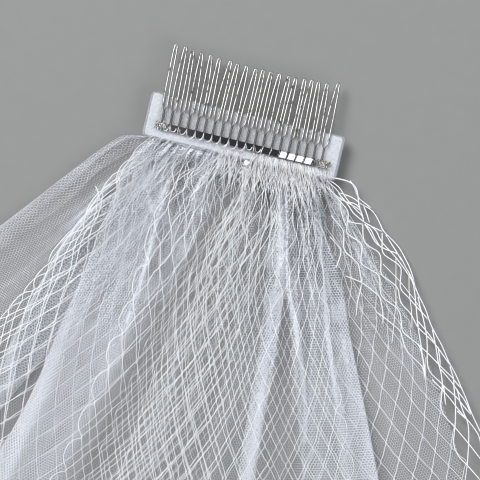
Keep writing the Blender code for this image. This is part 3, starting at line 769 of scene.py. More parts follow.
UPPER, LOWER = (Cloth.UPPER_TULLE,), (Cloth.LOWER_TULLE,)
BOTH = UPPER + LOWER
MARKS = (
    # the near-white fold below the bead, the one that parts from it, and the band at the right
    Mark(UPPER, 2.0, ((20.5, -6.3, 2.8), (25.8, -32.2, 3.2), (28.5, -58.7, 1.7), (31.5, -80.6, 1.3),
                      (34.1, -102.6, 1.3), (35.6, -120.3, 1.6), (37.3, -142.5, 1.8))),
    Mark(UPPER, 2.6, ((27.2, -34.1, 1), (34.9, -57.1, 1.2), (42.5, -73.4, 1.2), (49.1, -89.9, 1.2),
                      (54.5, -106.7, 1.1), (57.6, -119.6, 1))),
    Mark(UPPER, 1.5, ((35.4, -11.8, 1.4), (40.5, -21.9, 1.6), (54.2, -52.5, 2), (71.7, -93.5, 2.2),
                      (88.3, -130.3, 2.4))),
    Mark(UPPER, 1.5, ((28.3, -6.7, 3), (35.2, -29.9, 3), (44.4, -54.9, 3))),
    # the left lobe's edges and the crowded ridge beside it
    Mark(UPPER, 1.9, ((-49.8, -77.5, 2.5), (-53.1, -91.8, 2.8), (-56.1, -103.9, 2.8), (-58, -122.4, 2.5),
                      (-63.2, -144, 2.5), (-65.9, -165, 2.5))),
    Mark(LOWER, 2.0, ((-79, -102.6, 1.5), (-76, -115.4, 2.2), (-73.9, -124, 2.4), (-76.9, -130.2, 2))),
    Mark(BOTH, 1.8, ((2.5, -16.1, 1), (-6.9, -39.1, 1.5), (-12.5, -48.2, 1.7), (-13.7, -62, 1.9),
                     (-16.7, -74, 2))),
    Mark(BOTH, 1.6, ((-29.5, -20.6, 6), (-39.3, -45.6, 6), (-48.1, -65.7, 5), (-61.6, -84.8, 4))),
    # the full places either side of the wedge, and the lobe
    Mark(BOTH, 1.7, ((-9, -12, 7), (-20.5, -30, 10), (-27, -58, 10), (-36, -90, 7))),
    Mark(BOTH, 1.6, ((8, -14, 4), (9, -27, 6), (12, -50, 8), (12, -80, 9))),
    Mark(UPPER, 1.35, ((-42, -70, 10), (-47, -115, 14), (-55, -165, 16))),
    # thin places: the wedge, the gap beside the lobe, the triangle, and flecks near the tape
    Mark(BOTH, 0.25, ((6, -12, 0.8), (3, -18, 1.4), (-1.5, -27, 2.2), (-4.8, -36, 3.4), (-7, -50, 4.6),
                      (-10.5, -68, 6.4), (-15.5, -92, 8.4), (-20.5, -112, 9.4), (-27, -134, 10),
                      (-36, -166, 10), (-50, -215, 8))),
    Mark(LOWER, 0.4, ((-54.4, -88.5, 0.8), (-58.5, -101.3, 1.6), (-62.7, -117.7, 3), (-66, -137.9, 4.5),
                      (-68.9, -152.2, 5.5))),
    Mark(UPPER, 0.4, ((34.7, -61.7, 0.8), (38.4, -78.9, 3), (43.1, -100.4, 4.2), (47.8, -121.9, 4.6),
                      (51, -139.2, 4.6))),
    Mark(LOWER, 1.6, ((-52, -26.5, 2), (-60.5, -45, 3.4), (-64.5, -53, 2))),
    Mark(LOWER, 0.7, ((-74, -54, 4), (-110, -90, 5), (-150, -130, 6))),
    Mark(BOTH, 0.25, ((-9.4, -27.1, 0.9), (-10.7, -31, 0.9))),
    Mark(BOTH, 0.25, ((-8.4, -17.8, 0.8), (-9.5, -23, 0.8))),
    Mark(BOTH, 0.25, ((-5.8, -11.7, 0.9), (-6.9, -16.5, 0.9))),
    Mark(BOTH, 0.25, ((-15.6, -6.8, 1.1), (-16.7, -11.6, 1))),
)


@dataclass
class Surface:
    """A cloth's fine grid of points, with the cloth's own coordinates."""

    points: np.ndarray  # rows, columns, 3, in mm
    across: np.ndarray  # columns: the place across the cut cloth, in mm
    runs: np.ndarray  # rows: the distance from the tape, in mm
    bunching: np.ndarray  # rows, columns: how many times closer the threads lie than in the flat cloth
    creases: list  # where its creases are across the cut cloth, in mm

    def at(self, across: np.ndarray, run: np.ndarray) -> np.ndarray:
        """Points of the cloth at its own coordinates, in mm."""
        column, row = (
            np.clip(np.interp(place, known, np.arange(len(known))), 0.0, len(known) - 1.001)
            for place, known in ((across, self.across), (run, self.runs))
        )
        c, r = column.astype(int), row.astype(int)
        fc, fr = (column - c)[..., None], (row - r)[..., None]
        low = self.points[r, c] * (1.0 - fc) + self.points[r, c + 1] * fc
        high = self.points[r + 1, c] * (1.0 - fc) + self.points[r + 1, c + 1] * fc
        return low * (1.0 - fr) + high * fr


@dataclass
class ClothMaker:
    """Makes the cloths' surfaces from the drape."""

    drape: Drape
    reference_run: float = 140.0
    columns: dict = field(default_factory=lambda: {
        Cloth.LOWER_TULLE: 470, Cloth.LOWER_NET: 380, Cloth.UPPER_TULLE: 540, Cloth.UPPER_NET: 300,
    })
    gathers: dict = field(default_factory=lambda: {
        Cloth.LOWER_TULLE: Gathers(3, (
            Wave(9.0, 0.8, 0.3, 26.0), Wave(14.0, 1.2, 0.4, 34.0), Wave(23.0, 2.0, 0.5, 60.0, 0.15),
            Wave(37.0, 3.0, 0.7, 90.0, 0.2),
        )),
        Cloth.LOWER_NET: Gathers(5, (
            Wave(27.0, 1.4, 0.3, 45.0), Wave(43.0, 2.0, 0.3, 60.0), Wave(71.0, 2.2, 0.3, 90.0, 0.15),
        )),
        Cloth.UPPER_TULLE: Gathers(8, (
            Wave(7.5, 0.7, 0.3, 26.0), Wave(11.0, 1.0, 0.4, 34.0), Wave(18.0, 1.8, 0.5, 60.0, 0.15),
            Wave(31.0, 3.0, 0.7, 95.0, 0.2),
        )),
        Cloth.UPPER_NET: Gathers(11, (
            Wave(24.0, 1.4, 0.3, 45.0), Wave(39.0, 2.0, 0.3, 60.0), Wave(63.0, 2.2, 0.3, 90.0, 0.15),
        )),
    })
    dense: dict = field(default_factory=lambda: {  # the crushed or stretched panels, by their order
        0: 0.7, 2: 1.5, 3: 0.8, 8: 0.7, 9: 1.5, 10: 0.85, 11: 1.8, 12: 0.85,
    })
    crease_gain: float = 1.6
    crease_reach: float = 2.4
    least_height: float = 0.15
    most_packed: float = 6.0
    density_range: tuple = (0.25, 9.0)
    hem_thinning: tuple = (6.8, 230.0, 130.0)  # how far the most falls, from which run and over what length

    def densities(self, cloth: Cloth, counts: dict, own: np.ndarray) -> tuple[np.ndarray, list]:
        """How much denser each column looks: on the panels that are crushed, and beside every crease.

        Args:
            cloth: which cloth.
            counts: how many columns each panel has, by its order.
            own: each column's place across the cut cloth, in mm.

        Returns:
            The columns' densities and the places of the creases.
        """
        parts, creases, start = [], [], 0
        for index, line in enumerate(PATHS[cloth][:-1]):
            if index:
                parts.append(np.ones(self.drape.bend_columns))
                creases.append(own[start + self.drape.bend_columns // 2])
                start += self.drape.bend_columns
            parts.append(np.full(counts[line.order], self.dense.get(line.order, 1.0)))
            start += counts[line.order]
        gain = sum(np.exp(-np.abs(own - crease) / self.crease_reach) for crease in creases)
        return np.concatenate(parts) * (1.0 + self.crease_gain * gain), creases

    def share_columns(self, cloth: Cloth) -> dict:
        """How many columns each of the cloth's panels has, by its width far enough down to have opened."""
        width = self.drape.fan.width(self.reference_run)
        turns = self.drape.turns(cloth, self.reference_run, width)
        sizes = np.abs(np.diff(turns))
        counts = np.maximum(6, np.round(sizes / sizes.sum() * self.columns[cloth])).astype(int)
        return {line.order: int(count) for line, count in zip(PATHS[cloth], counts)}

    def all_surfaces(self) -> dict:
        """Every cloth's surface."""
        counts = {}
        for cloth in Cloth:
            counts.update(self.share_columns(cloth))
        drape = self.drape
        rows = [drape.sections(run, width, counts) for run, width in zip(drape.runs, drape.widths)]
        width = drape.fan.width(self.reference_run)
        reference = drape.sections(self.reference_run, width, counts)
        by_cloth = {cloth: [row[cloth] for row in rows] for cloth in Cloth}
        return {cloth: self.surface(cloth, by_cloth[cloth], reference[cloth], counts) for cloth in Cloth}

    def surface(self, cloth: Cloth, rows: list, reference: tuple, counts: dict) -> Surface:
        """One cloth's surface from its sections.

        Args:
            cloth: which cloth.
            rows: its threads and heights at every run.
            reference: its threads and heights where the cloth lies open.
            counts: how many columns each panel has, by its order.

        Returns:
            The surface in mm.
        """
        drape, fan = self.drape, self.drape.fan
        x, y = fan.point(reference[0], self.reference_run)
        steps = np.sqrt(np.diff(x) ** 2 + np.diff(y) ** 2 + np.diff(reference[1]) ** 2)
        own = np.concatenate([[0.0], np.cumsum(steps)])
        threads = np.array([row[0] for row in rows])
        heights = np.array([row[1] for row in rows])
        runs = np.array([drape.hem_run(cloth, row, run) for row, run in zip(threads, drape.runs)])
        for column in range(len(own)):
            threads[:, column] = np.interp(runs[:, column], drape.runs, threads[:, column])
            heights[:, column] = np.interp(runs[:, column], drape.runs, heights[:, column])
        gathers = self.gathers[cloth]
        for row, (run, width) in enumerate(zip(drape.runs, drape.widths)):
            shift, lift = gathers.at(own, run)
            threads[row] += shift / width
            heights[row] = np.maximum(heights[row] + lift, self.least_height)
        x, y = fan.point(threads, runs)
        points = np.dstack([x, y, heights])
        gaps = np.linalg.norm(np.diff(points, axis=1), axis=2)
        apart = np.maximum(np.abs(np.diff(own))[None, :], 1e-6)
        packed = apart / np.maximum(gaps, apart / self.most_packed)
        between = (packed[:, 1:] + packed[:, :-1]) / 2.0
        packed = np.concatenate([packed[:, :1], between, packed[:, -1:]], axis=1)
        densities, creases = self.densities(cloth, counts, own)
        packed = packed * densities[None, :]
        for mark in MARKS:
            if cloth in mark.cloths:
                packed *= mark.gain ** mark.weight(x, y)
        (least, most), (fall, start, over) = self.density_range, self.hem_thinning
        packed = np.clip(packed, least, most - fall * smoothstep((runs - start) / over))
        return Surface(points, own, drape.runs, packed, creases)


# ---------------------------------------------------------------------------------------------- mesh making
def deselect() -> None:
    """Leaves nothing selected."""
    for obj in bpy.context.selected_objects:
        obj.select_set(False)


def mesh_object(name: str, points: np.ndarray, faces: list, material: bpy.types.Material) -> bpy.types.Object:
    """A smooth mesh object of points in mm.

    Args:
        name: the piece's name.
        points: rows of X, Y and Z, in mm.
        faces: lists of point numbers.
        material: its material.

    Returns:
        The linked object.
    """
    mesh = bpy.data.meshes.new(name)
    mesh.from_pydata((np.asarray(points, float).reshape(-1, 3) * MM).tolist(), [], faces)
    mesh.materials.append(material)
    mesh.shade_smooth()
    obj = bpy.data.objects.new(name, mesh)
    bpy.context.scene.collection.objects.link(obj)
    return obj


def primitive(
    add: Callable[..., set], name: str, look: bpy.types.Material, scale: Sequence[float], **settings: object
) -> bpy.types.Object:
    """A primitive solid with its place and size applied.

    Args:
        add: the operator that adds it.
        name: the piece's name.
        look: its material.
        scale: its scale along X, Y and Z.
        settings: what the operator is given.

    Returns:
        The object, which is the active one.
    """
    deselect()
    add(**settings)
    obj = bpy.context.object
    obj.name = name
    obj.scale = scale
    bpy.ops.object.transform_apply(location=True, rotation=True, scale=True)
    obj.data.materials.append(look)
    return obj


def add_uv(obj: bpy.types.Object, values: np.ndarray) -> None:
    """Stores the cloth's own coordinates, one pair a point, as the mesh's UV map."""
    layer = obj.data.uv_layers.new(name="cloth")
    corners = np.zeros(len(obj.data.loops), np.int32)
    obj.data.loops.foreach_get("vertex_index", corners)
    layer.data.foreach_set("uv", values.reshape(-1, 2)[corners].astype(np.float32).ravel())


def add_bunching(obj: bpy.types.Object, values: np.ndarray) -> None:
    """Stores how densely the cloth's threads lie at each point."""
    layer = obj.data.attributes.new("bunching", "FLOAT", "POINT")
    layer.data.foreach_set("value", values.astype(np.float32).ravel())


def dress(obj: bpy.types.Object, node: str = "") -> bpy.types.Object:
    """Lets a finished piece ride on the veil, in its slot and in the place of its node, if it has one."""
    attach(obj, BODY)
    if node:
        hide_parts(node)
    return obj


def box_in_mm(node: str) -> tuple[np.ndarray, np.ndarray]:
    """The low and high corners of a node's box, in mm."""
    low, high = (np.array(corner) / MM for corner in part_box(node))
    return low, high


def grid_faces(rows: int, columns: int) -> list:
    """The quads of a grid of points, facing up where columns go right and rows go down."""
    number = np.arange(rows * columns).reshape(rows, columns)
    corners = (number[:-1, :-1], number[1:, :-1], number[1:, 1:], number[:-1, 1:])
    return np.stack(corners, axis=-1).reshape(-1, 4).tolist()


@dataclass
class Tube:
    """A round thread or wire along a line, in mm."""

    line: np.ndarray
    radius: float | np.ndarray
    sides: int

    def rings(self) -> tuple[np.ndarray, np.ndarray]:
        """The points of its rings, and each point's turn round it and length along it."""
        line = np.asarray(self.line, float)
        ahead = np.gradient(line, axis=0)
        ahead /= np.maximum(np.linalg.norm(ahead, axis=1, keepdims=True), 1e-9)
        side = np.cross(ahead, (0.0, 0.0, 1.0))
        flat = np.linalg.norm(side, axis=1, keepdims=True)
        side = np.where(flat > 0.05, side / np.maximum(flat, 1e-9), (1.0, 0.0, 0.0))
        up = np.cross(side, ahead)
        turns = np.arange(self.sides) / self.sides
        angle = turns * math.tau
        size = np.broadcast_to(np.asarray(self.radius, float), (len(line),))[:, None, None]
        ring = np.cos(angle)[None, :, None] * side[:, None, :] + np.sin(angle)[None, :, None] * up[:, None, :]
        places = np.stack(np.broadcast_arrays(turns[None, :], lengths_along(line)[:, None]), axis=-1)
        return (line[:, None, :] + size * ring).reshape(-1, 3), places.reshape(-1, 2)

    def faces(self, start: int) -> list:
        """Its faces, with its first point's number, both ends capped."""
        number = start + np.arange(len(self.line) * self.sides).reshape(len(self.line), self.sides)
        following = np.roll(number, -1, axis=1)
        quads = np.stack([number[:-1], following[:-1], following[1:], number[1:]], axis=-1)
        return quads.reshape(-1, 4).tolist() + [number[0][::-1].tolist(), number[-1].tolist()]


def lengths_along(line: np.ndarray) -> np.ndarray:
    """How far along a line each of its points is."""
    return np.concatenate([[0.0], np.cumsum(np.linalg.norm(np.diff(line, axis=0), axis=1))])


def tube_object(name: str, tubes: list[Tube], material: bpy.types.Material) -> bpy.types.Object:
    """Several tubes as one object, with the turn and length along each as its UV map."""
    faces, start = [], 0
    rings = [tube.rings() for tube in tubes]
    for tube, (points, _places) in zip(tubes, rings):
        faces += tube.faces(start)
        start += len(points)
    points, places = (np.concatenate(parts) for parts in zip(*rings))
    obj = mesh_object(name, points, faces, material)
    add_uv(obj, places)
    return obj


# ---------------------------------------------------------------------------------------- tulle and the nets
@dataclass
class Tulle:
    """A tier's tulle, as one fine shell."""

    name: str
    node: str
    surface: Surface
    finish: TulleFinish

    def build(self) -> bpy.types.Object:
        """Makes the shell with its own coordinates and bunching."""
        surface = self.surface
        rows, columns, _axes = surface.points.shape
        obj = mesh_object(self.name, surface.points, grid_faces(rows, columns), self.finish.make())
        add_uv(obj, np.stack(np.meshgrid(surface.across, surface.runs), axis=-1))
        add_bunching(obj, surface.bunching)
        return dress(obj, self.node)


@dataclass
class Net:
    """A tier's diamond net, as zigzag strands that run side by side where they meet. Lengths are in mm."""

    name: str
    node: str
    surface: Surface
    finish: YarnFinish
    seed: int
    thread: float
    tucked: int  # how many strands lie once more under the left edge
    to_crease: bool  # whether the strands end at the last crease, before the edge that wraps over
    cell: float = 8.4
    side: float = 9.0
    margin: float = 0.06
    least_height: float = 5.0
    first_run: float = -6.0
    meeting: float = 0.65  # half the length over which two strands run side by side
    beside: float = 0.9
    knot_jitter: tuple = (0.55, 0.8)
    jitter_fade: float = 55.0
    calm_share: float = 0.18
    bow: float = 0.4
    edge_bow: float = 1.3
    bundle: tuple = (15.0, 0.42)  # how far from the last crease the cells are squeezed, and how much
    bundle_runs: tuple = (40.0, 110.0)
    tangle: tuple = (4.2, 40.0)  # its size, and the run over which it fades
    sways: tuple = ((1.0, 23.0, 41.0), (0.8, 13.0, -29.0), (0.6, 47.0, 61.0))  # size, wavelengths each way
    sway_gain: float = 1.4
    lifts: tuple = ((17.0, 23.0), (9.0, -31.0))
    loft: tuple = (0.35, 0.9)  # how high the strands lie, and how much higher near the comb
    near: float = 170.0  # the run up to which the strands have more points and sides
    outer: tuple = (15.0, 150.0)  # within this of the crease the strands start only at this run
    under: float = 0.45  # how thick a strand looks through the fold above it
    edge_gain: float = 0.4
    edge_reach: float = 14.0
    clearing: float = 0.42
    fineness: tuple = (0.28, 50.0)  # how much finer near the comb, and the run over which that fades
    tucked_down: tuple = (2.0, 260.0)
    tucked_squeeze: float = 0.82
    tucked_drop: float = 0.5

    def __post_init__(self) -> None:
        """Draws the phases of the tangle."""
        self.draw = np.random.default_rng(self.seed)
        self.phases = self.draw.uniform(0.0, math.tau, len(self.sways) + len(self.lifts))

    def rows(self) -> np.ndarray:
        """The runs of the rows of crossings: closer together where the cells are pulled wide."""
        surface = self.surface
        widths = np.linalg.norm(np.diff(surface.points[:, :, :2], axis=1), axis=2)
        share = np.median(widths / np.diff(surface.across)[None, :], axis=1)
        found = [self.first_run]
        while found[-1] < surface.runs[-1]:
            opened = self.cell * float(np.interp(found[-1], surface.runs, share))
            tall = math.sqrt(max(self.side**2 - (opened / 2.0) ** 2, self.least_height**2 / 4.0))
            found.append(found[-1] + tall)
        return np.array(found[:-1])

    def laid(self, across: np.ndarray, run: np.ndarray) -> np.ndarray:
        """Points on the cloth, tangled and lofted near the comb, in mm."""
        size, fade = self.tangle
        near = smoothstep((run + 1.0) / 8.0) * np.exp(-np.maximum(run, 0.0) / fade)
        phases = iter(self.phases)
        sway, lift = np.zeros_like(across), np.zeros_like(across)
        for share, wide, long in self.sways:
            sway += share * np.sin(across * math.tau / wide + run * math.tau / long + next(phases))
        across = across + size * near * sway / self.sway_gain
        points = self.surface.at(self.bundled(across, run), run)
        for wide, long in self.lifts:
            lift += 1.0 + np.sin(across * math.tau / wide + run * math.tau / long + next(phases))
        points[:, 2] += self.loft[0] + self.loft[1] * near * lift / 2.0
        return points

    def bundled(self, across: np.ndarray, run: np.ndarray) -> np.ndarray:
        """The places across the cloth, drawn together beside the last crease lower down."""
        crease, (reach, squeeze) = self.surface.creases[-1], self.bundle
        start, full = self.bundle_runs
        off = across - crease
        share = squeeze + (1.0 - squeeze) * smoothstep(np.abs(off) / reach)
        return crease + off * (1.0 + (share - 1.0) * smoothstep((run - start) / (full - start)))

    def strand(
        self, number: int, way: int, cell: float, rows: np.ndarray, knots: np.ndarray, edge: float
    ) -> tuple[np.ndarray, np.ndarray, int]:
        """One strand's own coordinates down the cloth.

        Args:
            number: which pair of strands.
            way: 1 for the one that swings right at odd rows, -1 for the other.
            cell: the width of a cell.
            rows: the runs of the rows.
            knots: how far each crossing is off its place, by row and column.
            edge: how far its sides bow outwards, for a strand at the net's edge.

        Returns:
            The coordinates across and down, and where the open rows begin.
        """
        across, down, split = [], [], 0
        middle = (number + self.margin) * cell
        previous = None
        calm = self.calm_share + (1.0 - self.calm_share) * np.exp(-np.maximum(rows, 0.0) / self.jitter_fade)
        for index, run in enumerate(rows):
            odd = index % 2
            off = knots[index, number + 1 - (1 if odd and way < 0 else 0)] * calm[index]
            at = middle + way * cell / 2.0 * odd + (-way if odd else way) * self.thread * self.beside + off[0]
            run = run + off[1]
            if previous is not None:
                bow = self.draw.normal(0.0, self.bow) * calm[index] + edge
                for share in (0.33, 0.67) if run < self.near else (0.5,):
                    across.append(previous[0] + (at - previous[0]) * share + bow * math.sin(math.pi * share))
                    down.append(previous[1] + (run - previous[1]) * share)
            if not split and run >= self.near:
                split = len(across)
            across += [at, at]
            down += [run - self.meeting, run + self.meeting]
            previous = (at, run)
        return np.array(across), np.array(down), split

    def tubes(self) -> list[Tube]:
        """The strands, rounder where they are seen closely."""
        rows = self.rows()
        total = self.surface.creases[-1] if self.to_crease else self.surface.across[-1]
        count = max(4, int(round(total / self.cell)))
        cell = total / (count + 2.0 * self.margin)
        knots = self.draw.normal(0.0, 1.0, (len(rows), count + 2, 2)) * self.knot_jitter
        bows = {0: -self.edge_bow, count: self.edge_bow}
        outside = ((0, -1), (count, 1))  # these two would swing out past the edges
        strands = [(number, way) for number in range(count + 1) for way in (1, -1)]
        tubes = []
        for number, way in (strand for strand in strands if strand not in outside):
            across, down, split = self.strand(number, way, cell, rows, knots, bows.get(number, 0.0))
            if self.to_crease and number * cell > total - self.outer[0]:
                start = int(np.searchsorted(down, self.outer[1]))
                across, down, split = across[start:], down[start:], max(split - start, 0)
            points = self.laid(across, down)
            thick = self.thickness(across, down, points)
            if split:
                tubes.append(Tube(points[: split + 1], thick[: split + 1], 4))
            tubes.append(Tube(points[split:], thick[split:], 3))
            if number < self.tucked:
                tubes.append(self.tucked_strand(across, down))
        return tubes

    def thickness(self, across: np.ndarray, down: np.ndarray, points: np.ndarray) -> np.ndarray:
        """The thread's radius along a strand.

        It is finer near the comb, where the net is folded under itself and where the cloths are thin, and
        fuller at the net's edge.

        Args:
            across: the strand's places across the cut net, in mm.
            down: its runs from the tape, in mm.
            points: where they lie, in mm.

        Returns:
            The radius at each point, in mm.
        """
        first, second = self.surface.creases[:2]
        folded = smoothstep((across - first) / 3.0 + 0.5) * (1.0 - smoothstep((across - second) / 3.0 + 0.5))
        edge = self.edge_gain * np.exp(-np.maximum(across, 0.0) / self.edge_reach)
        thin = [mark.weight(points[:, 0], points[:, 1]) for mark in MARKS if mark.gain < 0.5]
        full = self.thread * (1.0 + edge) * (1.0 - (1.0 - self.under) * folded)
        share, fade = self.fineness
        return full * (1.0 - self.clearing * np.max(thin, axis=0)) * (1.0 - share * np.exp(-down / fade))

    def tucked_strand(self, across: np.ndarray, down: np.ndarray) -> Tube:
        """A strand of the edge that is folded under: the same lattice, run back and slipped down."""
        chosen = (down > self.tucked_down[0]) & (down < self.tucked_down[1])
        across, down = across[chosen], down[chosen]
        under = across * self.tucked_squeeze + 1.2 * np.sin(down / 17.0) + 1.4
        points = self.laid(np.maximum(under, 0.0), down + self.side * 0.8)
        points[:, 2] -= self.tucked_drop
        return Tube(points, self.thread, 4)

    def build(self, extra: Sequence[Tube] = ()) -> bpy.types.Object:
        """Makes the net as one object, with any loose strands."""
        return dress(tube_object(self.name, self.tubes() + list(extra), self.finish.make()), self.node)


@dataclass(frozen=True)
class LooseStrand:
    """A strand that leaves the lattice: its plan points and heights, in mm, and how thick it is."""

    points: tuple
    radius: float = 0.26
    step: float = 1.4
    ease: float = 1.5

    def tube(self) -> Tube:
        """The strand as a smooth tube through its points."""
        given = np.array(self.points, float)
        far = lengths_along(given)
        fine = np.linspace(0.0, far[-1], max(6, int(far[-1] / self.step)))
        around = (-self.ease, 0.0, self.ease)
        padded = np.array([np.interp(fine + off, far, given[:, axis]) for axis in range(3) for off in around])
        smooth = padded.reshape(3, 3, -1).mean(axis=1).T
        smooth[0], smooth[-1] = given[0], given[-1]
        return Tube(smooth, self.radius, 5)


RIGHT_LOOPS = (  # the loops of the lower net that stand out from the tape's right end
    LooseStrand(((37, -4.8, 6), (42.5, -4.6, 7), (46.6, -4.4, 6.4), (50.2, -4.6, 5.8), (53.2, -6, 5.6),
                 (55.2, -9.6, 5.4), (56, -12.8, 5), (57.4, -15.4, 5)), 0.34),
    LooseStrand(((39, -5.4, 6), (43.8, -6.8, 6.4), (47.2, -8.6, 6.2), (49, -11, 5.8), (51.6, -13, 5.6),
                 (55, -15.6, 5.4), (58.8, -17.6, 5.4), (60, -19, 5.2))),
    LooseStrand(((40, -6.4, 6.2), (45, -9, 6.2), (48.2, -11.6, 5.8), (48.6, -16, 5.6), (50.4, -20, 5.4),
                 (54, -25, 5.2)), 0.22),
    LooseStrand(((40.6, -9, 6.4), (46, -12.2, 6.2), (51, -13.8, 6), (56.2, -15, 5.8),
                 (57.4, -15.8, 5.8)), 0.24),
)
LEFT_LOOPS = (  # the doubled strands and the cut ends at the lower net's left edge
    LooseStrand(((-39, -14, 5.2), (-42.9, -16.4, 5), (-46.9, -17.9, 5), (-49.5, -22.2, 4.8),
                 (-49.7, -25.9, 4.8), (-49.9, -27.7, 4.8))),
    LooseStrand(((-36.8, -14.6, 5.6), (-43.6, -20.3, 5.2), (-49.9, -27.7, 5), (-53.2, -31.2, 4.8),
                 (-56.2, -35.6, 4.8), (-58.1, -39.2, 4.6), (-59.2, -44, 4.6), (-59.3, -49, 4.6),
                 (-63.6, -53.7, 4.4), (-65.6, -56.8, 4.4), (-67.4, -60.4, 4.4), (-69.9, -65.1, 4.2),
                 (-70.2, -69.7, 4.2)), 0.25),
    LooseStrand(((-37.1, -17, 5.6), (-43.2, -22, 5.2), (-49.3, -28.5, 5), (-52.5, -32, 4.8),
                 (-55.6, -36.3, 4.8), (-56.7, -39.3, 4.6), (-58.2, -42.4, 4.6), (-58.9, -45.3, 4.6),
                 (-58.9, -48.9, 4.6), (-62.7, -53.9, 4.4), (-65.1, -57.2, 4.4), (-66.6, -60.2, 4.4)), 0.23),
    LooseStrand(((-57.9, -32.4, 5), (-56.6, -33.9, 5), (-55.7, -35.9, 5), (-54, -39.1, 4.8),
                 (-52.2, -42.8, 4.6))),
    LooseStrand(((-57.1, -37.4, 4.8), (-56.2, -35.6, 5), (-55.9, -34.1, 5))),
    LooseStrand(((-49.9, -27.7, 5), (-47.6, -31.7, 4.8), (-47.8, -34.9, 4.8), (-46.3, -37.3, 4.8),
                 (-43.7, -42.5, 4.6))),
)


@dataclass
class Skin:
    """The top of the pile of cloths, as the highest point in each square of a grid."""

    surfaces: dict
    cell: float = 1.5

    def __post_init__(self) -> None:
        """Finds the highest point in each square."""
        points = np.concatenate([surface.points.reshape(-1, 3) for surface in self.surfaces.values()])
        self.low = points[:, :2].min(axis=0)
        index = ((points[:, :2] - self.low) / self.cell).astype(int)
        self.top = np.zeros(index.max(axis=0) + 1)
        np.maximum.at(self.top, (index[:, 0], index[:, 1]), points[:, 2])

    def height(self, x: np.ndarray, y: np.ndarray) -> np.ndarray:
        """The pile's height at plan places, in mm."""
        column = np.clip(((np.asarray(x) - self.low[0]) / self.cell).astype(int), 1, self.top.shape[0] - 2)
        row = np.clip(((np.asarray(y) - self.low[1]) / self.cell).astype(int), 1, self.top.shape[1] - 2)
        return np.max([self.top[column + i, row + j] for i in (-1, 0, 1) for j in (-1, 0, 1)], axis=0)


@dataclass(frozen=True)
class LaidStrand:
    """A strand given in plan, in mm, that lies on top of the pile."""

    points: tuple
    radius: float = 0.29

    def tube(self, skin: Skin) -> Tube:
        """The strand as a tube on the pile."""
        x, y = np.array(self.points, float).T
        heights = np.maximum(skin.height(x, y), 2.0) + self.radius
        return LooseStrand(tuple(zip(x, y, heights)), self.radius).tube()


